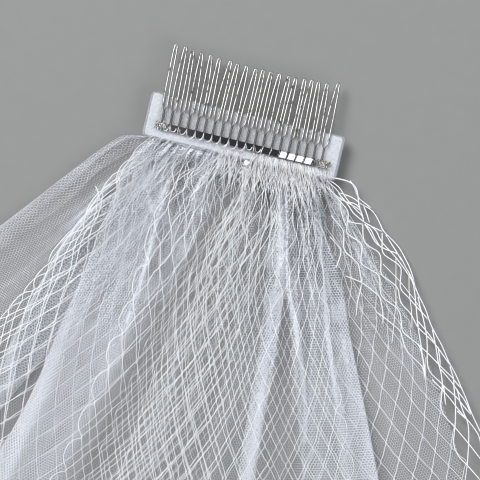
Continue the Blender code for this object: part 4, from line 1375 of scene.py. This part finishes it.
TURNED_BACK = (  # the strands of the lower net that lie back over the upper tulle at the right, in plan
    *(LaidStrand(points) for points in (
        ((47.3, -10.4), (52.8, -10.9), (55.1, -12), (56.5, -12.6), (58.6, -13.3), (61.8, -14), (64.6, -16),
         (67.8, -19.8), (69.3, -22.1), (73.2, -24.4), (76.6, -26.5), (79, -28.5), (82.3, -32.3),
         (84.6, -35), (86.9, -38.7), (88.8, -42.9), (91.3, -46.2), (93.9, -49.2), (96.9, -53.1),
         (98.2, -55.7), (100.5, -58.7), (103.3, -61.8), (106.4, -65.1), (109.1, -69), (111.6, -72.2),
         (114.7, -75.4), (118, -79.9), (122.4, -85.7), (123.9, -88.2), (126.7, -92), (129.3, -95.3),
         (131.4, -97.8), (136.6, -103.8), (142.3, -110.5), (149.4, -119.2)),
        ((50.3, -4.1), (52.6, -6.3), (54.2, -8.6), (55.2, -10.6), (58.3, -11.9), (62, -13.6)),
        ((50.3, -13.6), (55.3, -13.2), (57.5, -15.3), (59.3, -18.2), (60.3, -20.3)),
        ((46.4, -10.5), (49.7, -13), (52.9, -15.5), (54, -17.2), (59.2, -19.8), (60.7, -20.5),
         (63.9, -21.4), (69.1, -22.5)),
        ((44.7, -11.5), (49.1, -14.7), (52.7, -17.2), (53.3, -21.3), (53.6, -25.8), (53.7, -26.8),
         (58, -28.4), (61.9, -29.7), (62.5, -33.5), (62.8, -36.8), (62.7, -38), (64, -38.8), (70.4, -40.7),
         (72.6, -41.5), (73.6, -45.6), (74.6, -49.2), (75.7, -50.6), (83.7, -53.7), (85.1, -55.3),
         (86.3, -58.5), (87.8, -63.3), (92.3, -65.3), (96.9, -67.4), (99.9, -73.6), (102.3, -80.3)),
        ((60.1, -21.6), (61.2, -26), (62.3, -28.7), (63.3, -29.7), (70.3, -31.7), (71.5, -34.7),
         (72.8, -41.1), (78.2, -43.1), (81.8, -44.9), (83.1, -48.9), (84.8, -51.6), (89.7, -54.5),
         (93.9, -59.7), (98.4, -62.1), (103, -65), (104.3, -65.9), (108.8, -70), (111.7, -72.5)),
        ((45.6, -20.9), (52.8, -26), (53.2, -28.5), (54.5, -34.5), (62.3, -38.6), (63.4, -41.1),
         (65.6, -46.5)),
        ((47.2, -30), (53.9, -34.7), (53.1, -42.6)),
        ((58, -45.2), (65.5, -46.2), (70.3, -48.3), (74.8, -50.5), (77.4, -56.2), (78.1, -58.1),
         (78.8, -61.8)),
        ((65.7, -47.1), (65.9, -52), (65.6, -54.1), (66.6, -61.1)),
        ((74.7, -57.4), (77.8, -58.5), (87.1, -62.9), (89.6, -67.9), (91.7, -71), (100.4, -76.1),
         (102.7, -81.5)),
        ((69.2, -23.1), (70, -26.5), (71.1, -31.5), (72.1, -32.2), (80.3, -35.2), (81.1, -35.9),
         (82.1, -43.5), (82.7, -45.4), (87.4, -48.1), (91.1, -50.9), (93.8, -52.6), (97.3, -55)),
        ((60.9, -21.1), (63.4, -23.5), (66.6, -27.3), (68.6, -28.8), (73.5, -30), (77.5, -30.1),
         (79.7, -31.6), (81.4, -33.8), (83.6, -36.2), (85.8, -38.4), (87.5, -40.9), (88.8, -42.9)),
        ((63.9, -21.4), (66.9, -23), (68.9, -26.1), (70.3, -27.4), (74.1, -29.8), (77.5, -32.1),
         (80.4, -34.4), (84.4, -38), (86.2, -39.6), (87.8, -41.5), (89.8, -46.9), (91.1, -50.6),
         (93.1, -56.5), (95.1, -62), (97.2, -66.7), (99.2, -72), (100.9, -75.6), (102.5, -80.4)),
        ((71, -23.6), (73.2, -25.7), (77, -29.4), (80.8, -33.4)),
        ((53.4, -21.6), (56.7, -21.8), (60.2, -21.3)),
        ((58.7, -13.7), (60.6, -16.3), (62.7, -20)),
        ((61.7, -21.5), (64.2, -22.6), (65.9, -25.5), (70.1, -29.5)),
        ((91, -46.6), (92.4, -49.6), (93.3, -51.4), (95.3, -54.9), (97.5, -59.7), (98.7, -62.3),
         (99.9, -66.1), (100.9, -70.5), (101.9, -74.8), (103.8, -77.8), (110, -81.2), (111.1, -82.1),
         (118.7, -86), (120, -87.4), (123.6, -90), (125.6, -91.5)),
        ((92.9, -56.7), (97.8, -60.2), (99.6, -61.5), (102.9, -64.7)),
        ((100.6, -59.2), (103.3, -65.2), (104.5, -67.8), (106.5, -73.1), (107.6, -74.6), (109.5, -78.7),
         (110.4, -81.4), (111.5, -88.4), (111.8, -91.6), (114.3, -94.7), (119.6, -98.2), (127.4, -103.9),
         (134.2, -109.4), (140, -113.8), (146.2, -119.1)),
        ((92, -65.1), (96.9, -67.4), (101.2, -69.8), (106.7, -73.3), (108.7, -74.6), (114.4, -77.8),
         (116.3, -79.7), (118.7, -81.2)),
        ((104.7, -66), (106.7, -70.8), (107.5, -73.5)),
        ((108.3, -75.3), (115.3, -80.5), (117.3, -82.6), (121.5, -85.9), (123.4, -88.3), (125.5, -91)),
        ((105.5, -80.5), (110.6, -83.6), (115.8, -87.3), (118.2, -89.4), (121.9, -92.2), (124.7, -93.9),
         (126, -95.1), (129, -97.4), (131.7, -100.2), (134.2, -106.6), (137.7, -113.9), (142.1, -121)),
        ((111.8, -73), (113.5, -76.3), (114.6, -77.5), (115.6, -81.6), (117.5, -86.9), (118.3, -89.6),
         (119.9, -97.1), (120.7, -103.8), (121.2, -106.1), (124.2, -110.4), (129.2, -113.4), (136, -118.2),
         (141.1, -122.2)),
        ((111.1, -82.1), (113.1, -88), (113.9, -89.9)),
        ((117.2, -82.1), (119.4, -86.5), (120.1, -88.1), (122, -90.9), (123.2, -92.6), (124.8, -94.4),
         (126.1, -97.6), (127.6, -103.9), (129.2, -113.4), (130, -120.1), (131, -125.5)),
        ((119.4, -91.3), (122.6, -93.2), (124.8, -94.2)),
    )),
    *(LaidStrand(points, 0.2) for points in (
        ((72.6, -36.2), (79.6, -40.5), (82.3, -42.3), (86.9, -46), (90.2, -48.5), (92.7, -50.8),
         (94.6, -53.3), (97.4, -55.3)),
        ((85.1, -38.9), (86.6, -45.1), (87.8, -48.4), (89.4, -52.3), (91, -57.7), (91.7, -60.8)),
        ((77.6, -32.1), (80.4, -43.9), (82.1, -50.8), (83.3, -58.7), (83.5, -60.4), (84.6, -69.1)),
    )),
)


@dataclass
class GatheredHeading:
    """The gathered tulle that covers the tape's lower edge, with the ends of threads that stand out of it.

    Lengths are in mm.
    """

    skin: Skin
    left: float = -40.0
    right: float = 41.0
    columns: int = 780
    rows: int = 22
    cover: tuple = (3.7, -14.0, 26.0)  # how far it climbs on the tape, from which X and over what length
    length: float = 10.0
    notches: int = 90  # places across whose top and end are drawn by themselves
    roughness: tuple = (0.3, 2.2)
    waves: tuple = ((2.1, 0.22, 0.3), (3.4, 0.3, 0.35), (5.9, 0.35, 0.3))  # length, shift and lift of each
    fan: float = 0.018
    middle: float = 2.0
    bead_x: float = 4.2
    bead_gap: tuple = (3.9, 1.7)
    gathering: float = 2.6
    density: float = 3.2
    least_height: float = 3.0
    count: int = 330
    thread: float = 0.17
    crowded: tuple = (-8.0, 40.0, 0.88)  # the X range with most of the threads, and their share
    short: tuple = (2.0, 8.0, 0.6)  # the lengths of the short ones, and their share
    longest: float = 17.0
    lean: float = 0.36

    def build(self) -> list[bpy.types.Object]:
        """Makes the pleated edge and the threads."""
        low, high = box_in_mm("plush_tape")
        return [dress(obj) for obj in (self.pleats(low, high), self.threads(low, high))]

    def over_tape(self, ys: np.ndarray, zs: np.ndarray, low: np.ndarray, over: float) -> np.ndarray:
        """The heights lifted over the tape where the places lie on it."""
        on_tape = smoothstep((ys - low[1] + 1.6) / 1.6)
        return zs + (np.maximum(over, zs) - zs) * on_tape

    def pleats(self, low: np.ndarray, high: np.ndarray) -> bpy.types.Object:
        """The edge of tulle in fine pleats that fan out from the comb."""
        draw = np.random.default_rng(32)
        across = np.linspace(self.left, self.right, self.columns)
        share = np.linspace(0.0, 1.0, self.rows)[:, None]
        ends = np.linspace(self.left, self.right, self.notches)
        (climb, start, over), (depth, reach) = self.cover, self.bead_gap
        top_rough, end_rough = self.roughness
        top = low[1] - 0.1 + climb * smoothstep((across - start) / over)
        top = top + np.interp(across, ends, draw.normal(0.0, top_rough, self.notches))
        top = top - depth * np.exp(-(((across - self.bead_x) / reach) ** 4))
        end = low[1] - self.length + np.interp(across, ends, draw.normal(0.0, end_rough, self.notches))
        y = top + (end - top) * share
        x = across + self.fan * (across - self.middle) * (top - y)
        lift = np.zeros_like(y)
        for length, shift, height in self.waves:
            turn = across * math.tau / length + draw.uniform(0.0, math.tau) + share * draw.normal(0.0, 1.2)
            x = x + shift * np.sin(turn)
            lift = lift + height * (0.6 + 0.4 * np.sin(across / length)) * np.cos(turn)
        z = self.over_tape(y, self.skin.height(x, y) + 0.3, low, high[2] + 0.3) + lift * (0.4 + 0.6 * share)
        finish = TulleFinish("heading_tulle", streak=1.0, painted_trough_shade=0.08).make()
        points = np.dstack([x, y, np.maximum(z, self.least_height)])
        obj = mesh_object("gathered_edge", points, grid_faces(self.rows, self.columns), finish)
        add_uv(obj, np.dstack([np.broadcast_to(across * self.gathering, y.shape), top - y]))
        fade = smoothstep((self.right - across) / 4.0) * smoothstep((across - self.left) / 5.0)
        add_bunching(obj, (self.density * (1.0 - share) ** 0.8) * fade)
        return obj

    def threads(self, low: np.ndarray, high: np.ndarray) -> bpy.types.Object:
        """The loose ends of threads."""
        draw = np.random.default_rng(31)
        first, last, most = self.crowded
        least, middling, shorter = self.short
        tubes = []
        for _ in range(self.count):
            x = draw.uniform(first, last) if draw.random() < most else draw.uniform(self.left, last)
            top = low[1] + 0.2 + float(smoothstep((x + 16.0) / 24.0)) * draw.uniform(0.8, self.cover[0])
            over = high[2] + 0.3 + 0.7 * draw.random()
            span = (least, middling) if draw.random() < shorter else (middling, self.longest)
            end = low[1] - draw.uniform(*span) * (1.0 - 0.5 * float(smoothstep((x - 28.0) / 10.0)))
            if abs(x - self.bead_x) < 1.9:
                top, end = low[1] - 3.4, min(end, low[1] - 7.0)
            lean = self.fan * (x - self.middle) + draw.normal(0.0, self.lean)
            ys = np.array([top, (2.0 * top + end) / 3.0, (top + end) / 2.0, (top + 3.0 * end) / 4.0, end])
            xs = x + lean * (top - ys) + draw.normal(0.0, 0.18, 5)
            zs = self.over_tape(ys, self.skin.height(xs, ys) + draw.uniform(0.3, 0.9), low, over)
            if xs.max() <= 44.0:
                tubes.append(Tube(np.column_stack([xs, ys, zs]), self.thread * draw.uniform(0.7, 1.3), 3))
        finish = YarnFinish("heading_thread", (0.95, 0.965, 0.99), patches=300.0, dimmest=0.88)
        return tube_object("gathered_threads", tubes, finish.make())


# --------------------------------------------------------------------------------------------- plush and comb
@dataclass
class PlushTape:
    """The plush tape over the gathered edge. Lengths are in mm."""

    corner: float = 1.5
    rounding: float = 0.6
    fibres: int = 34000
    fibre_length: float = 1.0
    fibre_half_width: float = 0.032
    edge_share: float = 0.42
    pressed_half: float = 36.5
    pressed_low: float = -0.5
    flat: tuple = (0.0856, 0.0189)  # in metres

    def build(self) -> None:
        """Makes the tape and its pile."""
        low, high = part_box("plush_tape")
        look = PlushFinish("white_plush").make()
        middle = (high + low) / 2.0
        tape = primitive(bpy.ops.mesh.primitive_cube_add, "tape", look, high - low, size=1.0, location=middle)
        self.bevel(tape, self.corner, 7, lambda a, b: abs(a.z - b.z) > (high - low).z / 2.0)
        self.bevel(tape, self.rounding, 4, lambda a, b: abs(a.z - b.z) < 1e-6)
        tape.data.shade_smooth()
        pile = dress(self.pile(look))
        dress(tape, "plush_tape")

    def bevel(self, tape: bpy.types.Object, width: float, segments: int, chosen: Callable[..., bool]) -> None:
        """Rounds the edges of the tape that are chosen by their two ends."""
        bpy.ops.object.mode_set(mode="EDIT")
        bpy.ops.mesh.select_mode(type="EDGE")
        bpy.ops.mesh.select_all(action="DESELECT")
        bpy.ops.object.mode_set(mode="OBJECT")
        for edge in tape.data.edges:
            edge.select = chosen(*(tape.data.vertices[index].co for index in edge.vertices))
        bpy.ops.object.mode_set(mode="EDIT")
        bpy.ops.mesh.bevel(offset=width * MM, segments=segments, profile=0.5)
        bpy.ops.object.mode_set(mode="OBJECT")

    def pile(self, look: bpy.types.Material) -> bpy.types.Object:
        """The short fibres that stand off the tape, thick at the edges and flattened under the comb."""
        draw = np.random.default_rng(12)
        low, high = box_in_mm("plush_tape")
        count, corner = self.fibres, self.corner
        roots = np.column_stack([draw.uniform(low[axis], high[axis], count) for axis in (0, 1)])
        edge = draw.random(count) < self.edge_share
        side = draw.integers(0, 4, count)
        for number, (axis, end) in enumerate(((0, low[0]), (0, high[0]), (1, low[1]), (1, high[1]))):
            roots[edge & (side == number), axis] = end
        inner = np.clip(roots, low[:2] + corner, high[:2] - corner)
        off = roots - inner
        far = np.linalg.norm(off, axis=1)
        outward = off / np.maximum(far, 1e-9)[:, None]
        roots = np.where((far > corner)[:, None], inner + outward * corner, roots)
        outward = np.where((far > 0.2)[:, None], outward, 0.0)
        at_edge = (far > corner - 0.4).astype(float)
        height = np.where(at_edge > 0.0, draw.uniform(low[2] + 0.4, high[2] - 0.1, count), high[2] - 0.1)
        pressed = (np.abs(roots[:, 0]) < self.pressed_half) & (roots[:, 1] > self.pressed_low)
        lean = draw.normal(0.0, 1.0, (count, 3))
        lean[:, :2] = lean[:, :2] * np.where(pressed, 1.4, 0.6)[:, None] + outward * at_edge[:, None] * 2.6
        lean[:, 2] = np.where(pressed, 0.25, 1.1) * (1.0 - 0.7 * at_edge) + 0.2 * lean[:, 2]
        lean /= np.linalg.norm(lean, axis=1, keepdims=True)
        length = self.fibre_length * draw.uniform(0.5, 1.15, count) * np.where(pressed, 0.8, 1.0)
        start = np.column_stack([roots, height])
        tip = start + lean * length[:, None]
        tip[:, 2] = np.minimum(tip[:, 2], high[2] + 0.9)
        sideways = np.cross(lean, draw.normal(0.0, 1.0, (count, 3)))
        sideways /= np.maximum(np.linalg.norm(sideways, axis=1, keepdims=True), 1e-9)
        wide = sideways * self.fibre_half_width
        points = np.stack([start - wide, start + wide, tip], axis=1)
        return mesh_object("tape_pile", points, np.arange(count * 3).reshape(-1, 3).tolist(), look)


@dataclass
class Comb:
    """The wire comb: a flat strip with the teeth's wire wound on it, and hairpin teeth. Lengths are in mm."""

    wire: float = 0.44
    stem_wire: float = 0.2
    twist: float = 0.42
    twist_pitch: float = 2.8
    pitch: float = 3.78
    count: int = 20
    start: float = 1.0
    stem: float = 6.4
    fork_half: float = 1.12
    tip_half: float = 0.55
    middle_z: float = 8.9
    drop: float = 3.0
    wander: tuple = (0.3, 0.16)  # how unevenly a tooth and its two legs bow
    winding: tuple = (1.72, 0.66)  # half the height and thickness of the turns on the strip
    strip_share: tuple = (0.95, 0.55)  # of the solid bar's height and thickness
    edge_round: float = 0.12
    bright_squares: tuple = (0.2, 0.22, 0.19, 0.21)  # how far these lean towards the light
    first_bright: int = 14
    arcs: int = 12
    arc_wire: float = 0.21
    coil_wire: float = 0.15
    core_wire: float = 0.14
    coil_loops: int = 9
    tips: tuple = (  # how far each tip leans along X from its root, and its Y
        (-1.9, 36.1), (-1.4, 36.1), (-1.8, 35.4), (-1.5, 35.1), (-1.1, 35.0), (-1.0, 34.6), (0.3, 34.6),
        (-0.2, 34.2), (0.2, 34.2), (0.6, 33.9), (0.0, 34.2), (-0.2, 34.2), (-0.1, 34.2), (0.3, 34.2),
        (-0.3, 34.1), (-0.2, 34.6), (-0.8, 34.8), (-1.6, 34.6), (-1.6, 34.9), (-0.6, 36.1),
    )

    def root_x(self, number: int) -> float:
        """The X of a tooth's root."""
        return (number - (self.count - 1) / 2.0) * self.pitch

    def tooth_line(self, number: int) -> np.ndarray:
        """One tooth's wire, from the bar up its stem, round the hairpin and back, in mm."""
        lean, tip_y = self.tips[number]
        half, tip, stem, length = self.fork_half, self.tip_half, self.stem, tip_y - self.start
        along = np.linspace(0.0, stem, 33)
        turn = (along - stem) / self.twist_pitch * math.tau
        helix = np.column_stack([self.twist * np.cos(turn), along, self.twist * np.sin(turn)])
        turn_y = length - 0.75
        legs = [
            (0.62, stem + 0.5, 0.1), (half * 0.9, stem + 1.5, 0.0), (half, stem + 3.0, 0.0),
            (half * 0.97, length * 0.45, 0.0), (half * 0.86, length * 0.66, 0.0),
            (tip + 0.16, length - 3.2, 0.0), (tip, turn_y, 0.0),
        ]
        bend = [(tip * math.cos(angle), turn_y + 0.72 * math.sin(angle), 0.0) for angle in (0.45, 0.95, 1.57)]
        there = np.concatenate([helix, legs, bend])
        line = np.concatenate([there, there[:-1][::-1] * (-1.0, 1.0, -1.0)])
        share = np.clip(line[:, 1] / length, 0.0, 1.0)
        own = np.random.default_rng(40 + number).normal(0.0, 1.0, 3)
        side = np.where(np.arange(len(line)) < len(there), 1.0, -1.0)
        both, each = self.wander
        line[:, 0] += self.root_x(number) + lean * share**1.3 + both * own[0] * np.sin(share * math.pi)
        line[:, 0] += each * own[1] * side * np.sin(share * math.pi) ** 2
        line[:, 2] += self.middle_z + 0.25 - self.drop * share**1.2
        line[:, 1] += self.start
        return line

    def radii(self, line: np.ndarray) -> np.ndarray:
        """The wire's radius along a tooth: the two wires of the stem lie in one another's twist."""
        opened = smoothstep((line[:, 1] - self.stem - 1.0) / 1.6)
        return self.stem_wire + (self.wire - self.stem_wire) * opened

    def build(self) -> None:
        """Makes the strip, its windings, the end coils and the teeth."""
        # the teeth's stems beside the bar get painted shade
        silver = MetalFinish(
            "silver_wire", (0.5, 0.495, 0.485), 0.4, (0.07, 0.066, 0.062), painted_shade_below=(6.8, 9.8, 0.85)
        ).make()
        twisted = MetalFinish("coiled_wire", (0.44, 0.43, 0.42), 0.14, (0.04, 0.037, 0.033)).make()
        golden = MetalFinish("golden_wire", (0.5, 0.45, 0.34), 0.18, (0.04, 0.03, 0.02)).make()
        # the loops and the left windings are the teeth's wire painted brighter, a painted highlight; the
        # right windings are the same wire painted dark, a painted shade
        painted_bright = MetalFinish("bright_wire", (0.86, 0.88, 0.92), 0.32, (0.6, 0.61, 0.63)).make()
        painted_dark = MetalFinish("winding_wire", (0.2, 0.195, 0.19), 0.2, (0.06, 0.058, 0.055)).make()
        self.strip(StripFinish("silver_strip").make())
        self.hanging_arcs(painted_bright)
        self.windings("left", range(self.first_bright), 0.23, painted_bright)
        self.windings("right", range(self.first_bright, self.count), 0.38, painted_dark)
        self.coil(-1.0, "end_coil_left", twisted, twisted)
        self.coil(1.0, "end_coil_right", twisted, golden)
        for number in range(self.count):
            name = f"tooth_{number + 1:02d}"
            line = self.tooth_line(number)
            dress(tube_object(f"wire_{name}", [Tube(line, self.radii(line), 7)], silver), name)

    def strip(self, look: bpy.types.Material) -> None:
        """The flat strip: a slab with rounded long edges, each square between windings turned its own way."""
        low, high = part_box("comb_bar")
        size, middle = (high - low), (high + low) / 2.0
        scale = (size.x, size.y * self.strip_share[0], size.z * self.strip_share[1])
        cube = bpy.ops.mesh.primitive_cube_add
        strip = primitive(cube, "bar_strip", look, scale, size=1.0, location=middle)
        for number in range(self.count):
            for side in (-0.45, 0.45):
                at = (self.root_x(number) * MM + side * MM, 0.0, 0.0)
                bpy.ops.object.mode_set(mode="EDIT")
                bpy.ops.mesh.select_all(action="SELECT")
                bpy.ops.mesh.bisect(plane_co=at, plane_no=(1.0, 0.0, 0.0))
                bpy.ops.object.mode_set(mode="OBJECT")
        tilt = np.random.default_rng(9).normal(0.0, 0.02, self.count)
        tilt[self.first_bright : self.first_bright + len(self.bright_squares)] = self.bright_squares
        for point in strip.data.vertices:
            square = (point.co.x / MM) / self.pitch + (self.count - 1) / 2.0
            number = int(np.clip(math.floor(square), 0, self.count - 2))
            point.co.z -= (point.co.y - middle.y) * tilt[number]
        bevel = strip.modifiers.new("soft_edges", "BEVEL")
        bevel.width = self.edge_round * MM
        bevel.segments = 2
        bevel.limit_method = "ANGLE"
        bpy.ops.object.modifier_apply(modifier="soft_edges")
        dress(strip, "comb_bar")

    def windings(self, name: str, numbers: range, radius: float, look: bpy.types.Material) -> None:
        """The wire wound round the strip at some of the teeth."""
        turn = np.linspace(0.0, math.tau, 15)
        half_y, half_z = self.winding
        tubes = []
        for number in numbers:
            slant = 0.35 if number >= self.arcs else -0.12
            x = self.root_x(number) + slant * np.sin(turn)
            ring = np.column_stack([x, half_y * np.sin(turn), self.middle_z + half_z * np.cos(turn)])
            tubes.append(Tube(ring, radius, 6))
        dress(tube_object(f"bar_windings_{name}", tubes, look))

    def hanging_arcs(self, look: bpy.types.Material) -> None:
        """The wire's loops that hang below the strip between the teeth of the left half."""
        draw = np.random.default_rng(6)
        angle = np.linspace(-0.1, math.pi + 0.1, 13)
        bow = np.abs(np.sin(angle)) ** 0.75
        tubes = []
        for number in range(self.arcs):
            size = 1.0 if 2 < number < 10 else 0.72
            middle = self.root_x(number) + self.pitch / 2.0 + draw.normal(0.0, 0.12)
            x = middle - self.pitch * 0.46 * size * np.cos(angle)
            y = 0.6 - (3.0 + draw.normal(0.0, 0.12)) * size * bow
            z = self.middle_z + 0.95 - 0.2 * bow
            tubes.append(Tube(np.column_stack([x, y, z]), self.arc_wire, 6))
        dress(tube_object("bar_loops", tubes, look))

    def coil(self, side: float, node: str, outer: bpy.types.Material, inner: bpy.types.Material) -> None:
        """The wire coiled and tucked on one end of the strip, longer at the right."""
        low, high = box_in_mm(node)
        middle = (low + high) / 2.0
        half = ((high - low) / 2.0 - self.wire * 0.9) * (1.25 + 0.25 * side, 1.0, 1.0)
        draw = np.random.default_rng(20 + int(side))
        tubes = []
        for turns, size, radius in ((4.5, 1.0, self.coil_wire), (2.5, 0.7, self.core_wire)):
            share = np.linspace(0.0, 1.0, int(turns * 13))
            turn = share * turns * math.tau + draw.uniform(0.0, math.tau)
            wobble = 1.0 + 0.2 * np.sin(turn * 0.43 + side)
            x = middle[0] + half[0] * (2.0 * share - 1.0) * (0.9 + 0.2 * size)
            y = middle[1] + half[1] * size * wobble * np.cos(turn) * (0.75 + 0.25 * np.sin(share * math.pi))
            tubes.append(Tube(np.column_stack([x, y, middle[2] + half[2] * size * np.sin(turn)]), radius, 6))
        for _ in range(self.coil_loops):
            angle = np.linspace(0.0, math.tau * draw.uniform(0.5, 0.95), 14) + draw.uniform(0.0, math.tau)
            radius = draw.uniform(0.5, 1.1)
            centre = middle + half * (draw.uniform(-0.6, 0.6, 3) + (0.3, 0.0, 0.0)) * (1.0, 1.0, 0.0)
            x = centre[0] + radius * np.cos(angle)
            y = centre[1] + radius * 1.2 * np.sin(angle)
            z = centre[2] + half[2] + 0.1 + 0.3 * np.sin(angle * 1.3 + radius)
            tubes.append(Tube(np.column_stack([x, y, z]), self.coil_wire, 5))
        dress(tube_object(f"wire_{node}", tubes[:1] + tubes[4:], outer), node)
        dress(tube_object(f"core_{node}", tubes[1:4], inner))


@dataclass
class Bead:
    """The clear bead at the end of the sewing."""

    lobes: int = 3
    lobe_size: float = 0.06
    dimple: tuple = (0.35, 0.35)  # its depth as a share of the height, and its reach in mm

    def build(self) -> None:
        """Makes the bead, a little irregular, with a dimple for its thread."""
        low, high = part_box("knot_bead")
        middle, size = (low + high) / 2.0, (high - low)
        sphere, look = bpy.ops.mesh.primitive_uv_sphere_add, BeadFinish("clear_white").make()
        bead = primitive(
            sphere, "clear_bead", look, (1.0, 1.0, 1.0),
            segments=28, ring_count=16, radius=size.x / 2.0, location=middle,
        )
        depth, reach = self.dimple
        for point in bead.data.vertices:
            off = point.co - middle
            wave = math.sin(self.lobes * math.atan2(off.y, off.x) + 0.7)
            lobes = 1.0 + self.lobe_size * wave * (1.0 - abs(off.z) / size.z)
            dimple = 1.0 - depth * math.exp(-((off.x**2 + off.y**2) / (reach * MM) ** 2)) * (off.z > 0.0)
            point.co = middle + Vector((off.x * lobes, off.y * lobes, off.z * dimple))
        bead.data.shade_smooth()
        dress(bead, "knot_bead")


# ------------------------------------------------------------------------------------------------- the studio
@dataclass
class Studio:
    """The floor, the lights and the camera."""

    floor_grey: float = 0.26
    view_centre: tuple = (9.27, -40.67)
    view_width: float = 211.0
    roll_deg: float = 13.5
    distance: float = 2400.0
    sensor: float = 36.0
    lamps: tuple = (  # name, place, size and power of each
        ("key", (-0.95, 0.7, 1.5), 0.9, 34.0),
        ("fill", (1.3, -0.6, 1.2), 1.2, 11.0),
        ("glint", (0.02, 0.78, 1.84), 0.5, 6.0),
    )
    sky: tuple = (0.93, 0.96, 1.0, 1.0)
    sky_strength: float = 0.25
    layers: int = 96  # how many see-through surfaces a ray may pass

    def build(self) -> None:
        """Makes the floor, the lights, the world and the camera."""
        self.floor()
        for lamp in self.lamps:
            self.lamp(*lamp)
        scene = bpy.context.scene
        scene.world = bpy.data.worlds.new("studio")
        scene.world.use_nodes = True
        background = scene.world.node_tree.nodes["Background"].inputs
        background["Color"].default_value = self.sky
        background["Strength"].default_value = self.sky_strength
        self.camera()
        scene.view_settings.view_transform = "Standard"
        scene.cycles.transparent_max_bounces = self.layers
        scene.cycles.max_bounces = 8
        scene.cycles.filter_width = 1.1

    def floor(self) -> None:
        """The plain pale floor."""
        deselect()
        bpy.ops.mesh.primitive_plane_add(size=12.0, location=(0.0, 0.0, -0.0004))
        floor = bpy.context.object
        floor.name = "floor"
        look = Finish("pale_floor", Roughness=0.85, Specular_IOR_Level=0.2)
        darker, lighter = ((self.floor_grey * share,) * 3 for share in (0.97, 1.03))
        look.feed("Base Color", look.blend(look.noise(160.0, 3.0), darker, lighter))
        floor.data.materials.append(look.material)

    def lamp(self, name: str, place: tuple, size: float, power: float) -> None:
        """A soft square light that looks at the comb."""
        light = bpy.data.lights.new(name, "AREA")
        light.size = size
        light.energy = power
        obj = bpy.data.objects.new(name, light)
        obj.location = place
        obj.rotation_mode = "QUATERNION"
        obj.rotation_quaternion = (-Vector(place)).to_track_quat("-Z", "Y")
        bpy.context.scene.collection.objects.link(obj)

    def camera(self) -> None:
        """The camera, straight above, turned so that the comb lies at its slant."""
        data = bpy.data.cameras.new("camera")
        data.sensor_width = self.sensor
        data.lens = self.sensor * self.distance / self.view_width
        data.clip_start, data.clip_end = 0.05, 20.0
        obj = bpy.data.objects.new("camera", data)
        obj.location = tuple(value * MM for value in (*self.view_centre, self.distance))
        obj.rotation_euler = (0.0, 0.0, math.radians(self.roll_deg))
        bpy.context.scene.collection.objects.link(obj)
        bpy.context.scene.camera = obj


# --------------------------------------------------------------------------------------------------- the veil
@dataclass(frozen=True)
class Tier:
    """One tier of the veil: its two cloths, its tulle's look and its net's thread."""

    tulle: Cloth
    net: Cloth
    flat: tuple  # the tulle's flat size, in metres
    look: TulleFinish
    thread: float  # in mm
    tucked: int = 0
    to_crease: bool = False

    def build(
        self, surfaces: dict[Cloth, Surface], loose: Sequence[Tube] = (),
        extra: Sequence[bpy.types.Object] = (),
    ) -> None:
        """Makes the tier's net and tulle.

        Args:
            surfaces: every cloth's surface.
            loose: the strands that leave the net's lattice.
            extra: the pieces that belong to the tulle's sheet, beside the net.
        """
        node = self.net.name.lower()
        net = Net(
            name=f"{node}_strands", node=node, surface=surfaces[self.net], finish=YarnFinish(node),
            seed=4 + self.net.value, thread=self.thread, tucked=self.tucked, to_crease=self.to_crease,
        ).build(loose)
        LOG.info("%s: %d faces", net.name, len(net.data.polygons))
        node = self.tulle.name.lower()
        shell = Tulle(f"{node}_cloth", node, surfaces[self.tulle], self.look).build()
        area = sum(face.area for face in shell.data.polygons)
        LOG.info("%s: area %.4f, %d faces", shell.name, area, len(shell.data.polygons))


LOWER_TIER = Tier(
    Cloth.LOWER_TULLE, Cloth.LOWER_NET, flat=(0.21, 0.6), thread=0.2, tucked=6, to_crease=True,
    look=TulleFinish(
        "lower_tulle", (0.82, 0.855, 0.92), grain=0.35, thread=0.09, screen_turn=0.8, piercing=0.35
    ),
)
UPPER_TIER = Tier(
    Cloth.UPPER_TULLE, Cloth.UPPER_NET, flat=(0.42, 0.555), thread=0.175, look=TulleFinish("upper_tulle"),
)


def main() -> None:
    """Loads the frame, builds every piece and writes the sizes."""
    logging.basicConfig(level=logging.INFO, format="%(message)s")
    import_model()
    Studio().build()
    surfaces = ClothMaker(Drape(Fan())).all_surfaces()
    LOG.info("cloth surfaces worked out")
    skin = Skin(surfaces)
    PlushTape().build()
    heading = GatheredHeading(skin).build()
    loose = [strand.tube() for strand in RIGHT_LOOPS + LEFT_LOOPS]
    loose += [strand.tube(skin) for strand in TURNED_BACK]
    LOWER_TIER.build(surfaces, loose=loose)
    UPPER_TIER.build(surfaces, extra=heading)
    Comb().build()
    Bead().build()


if __name__ == "__main__":
    main()
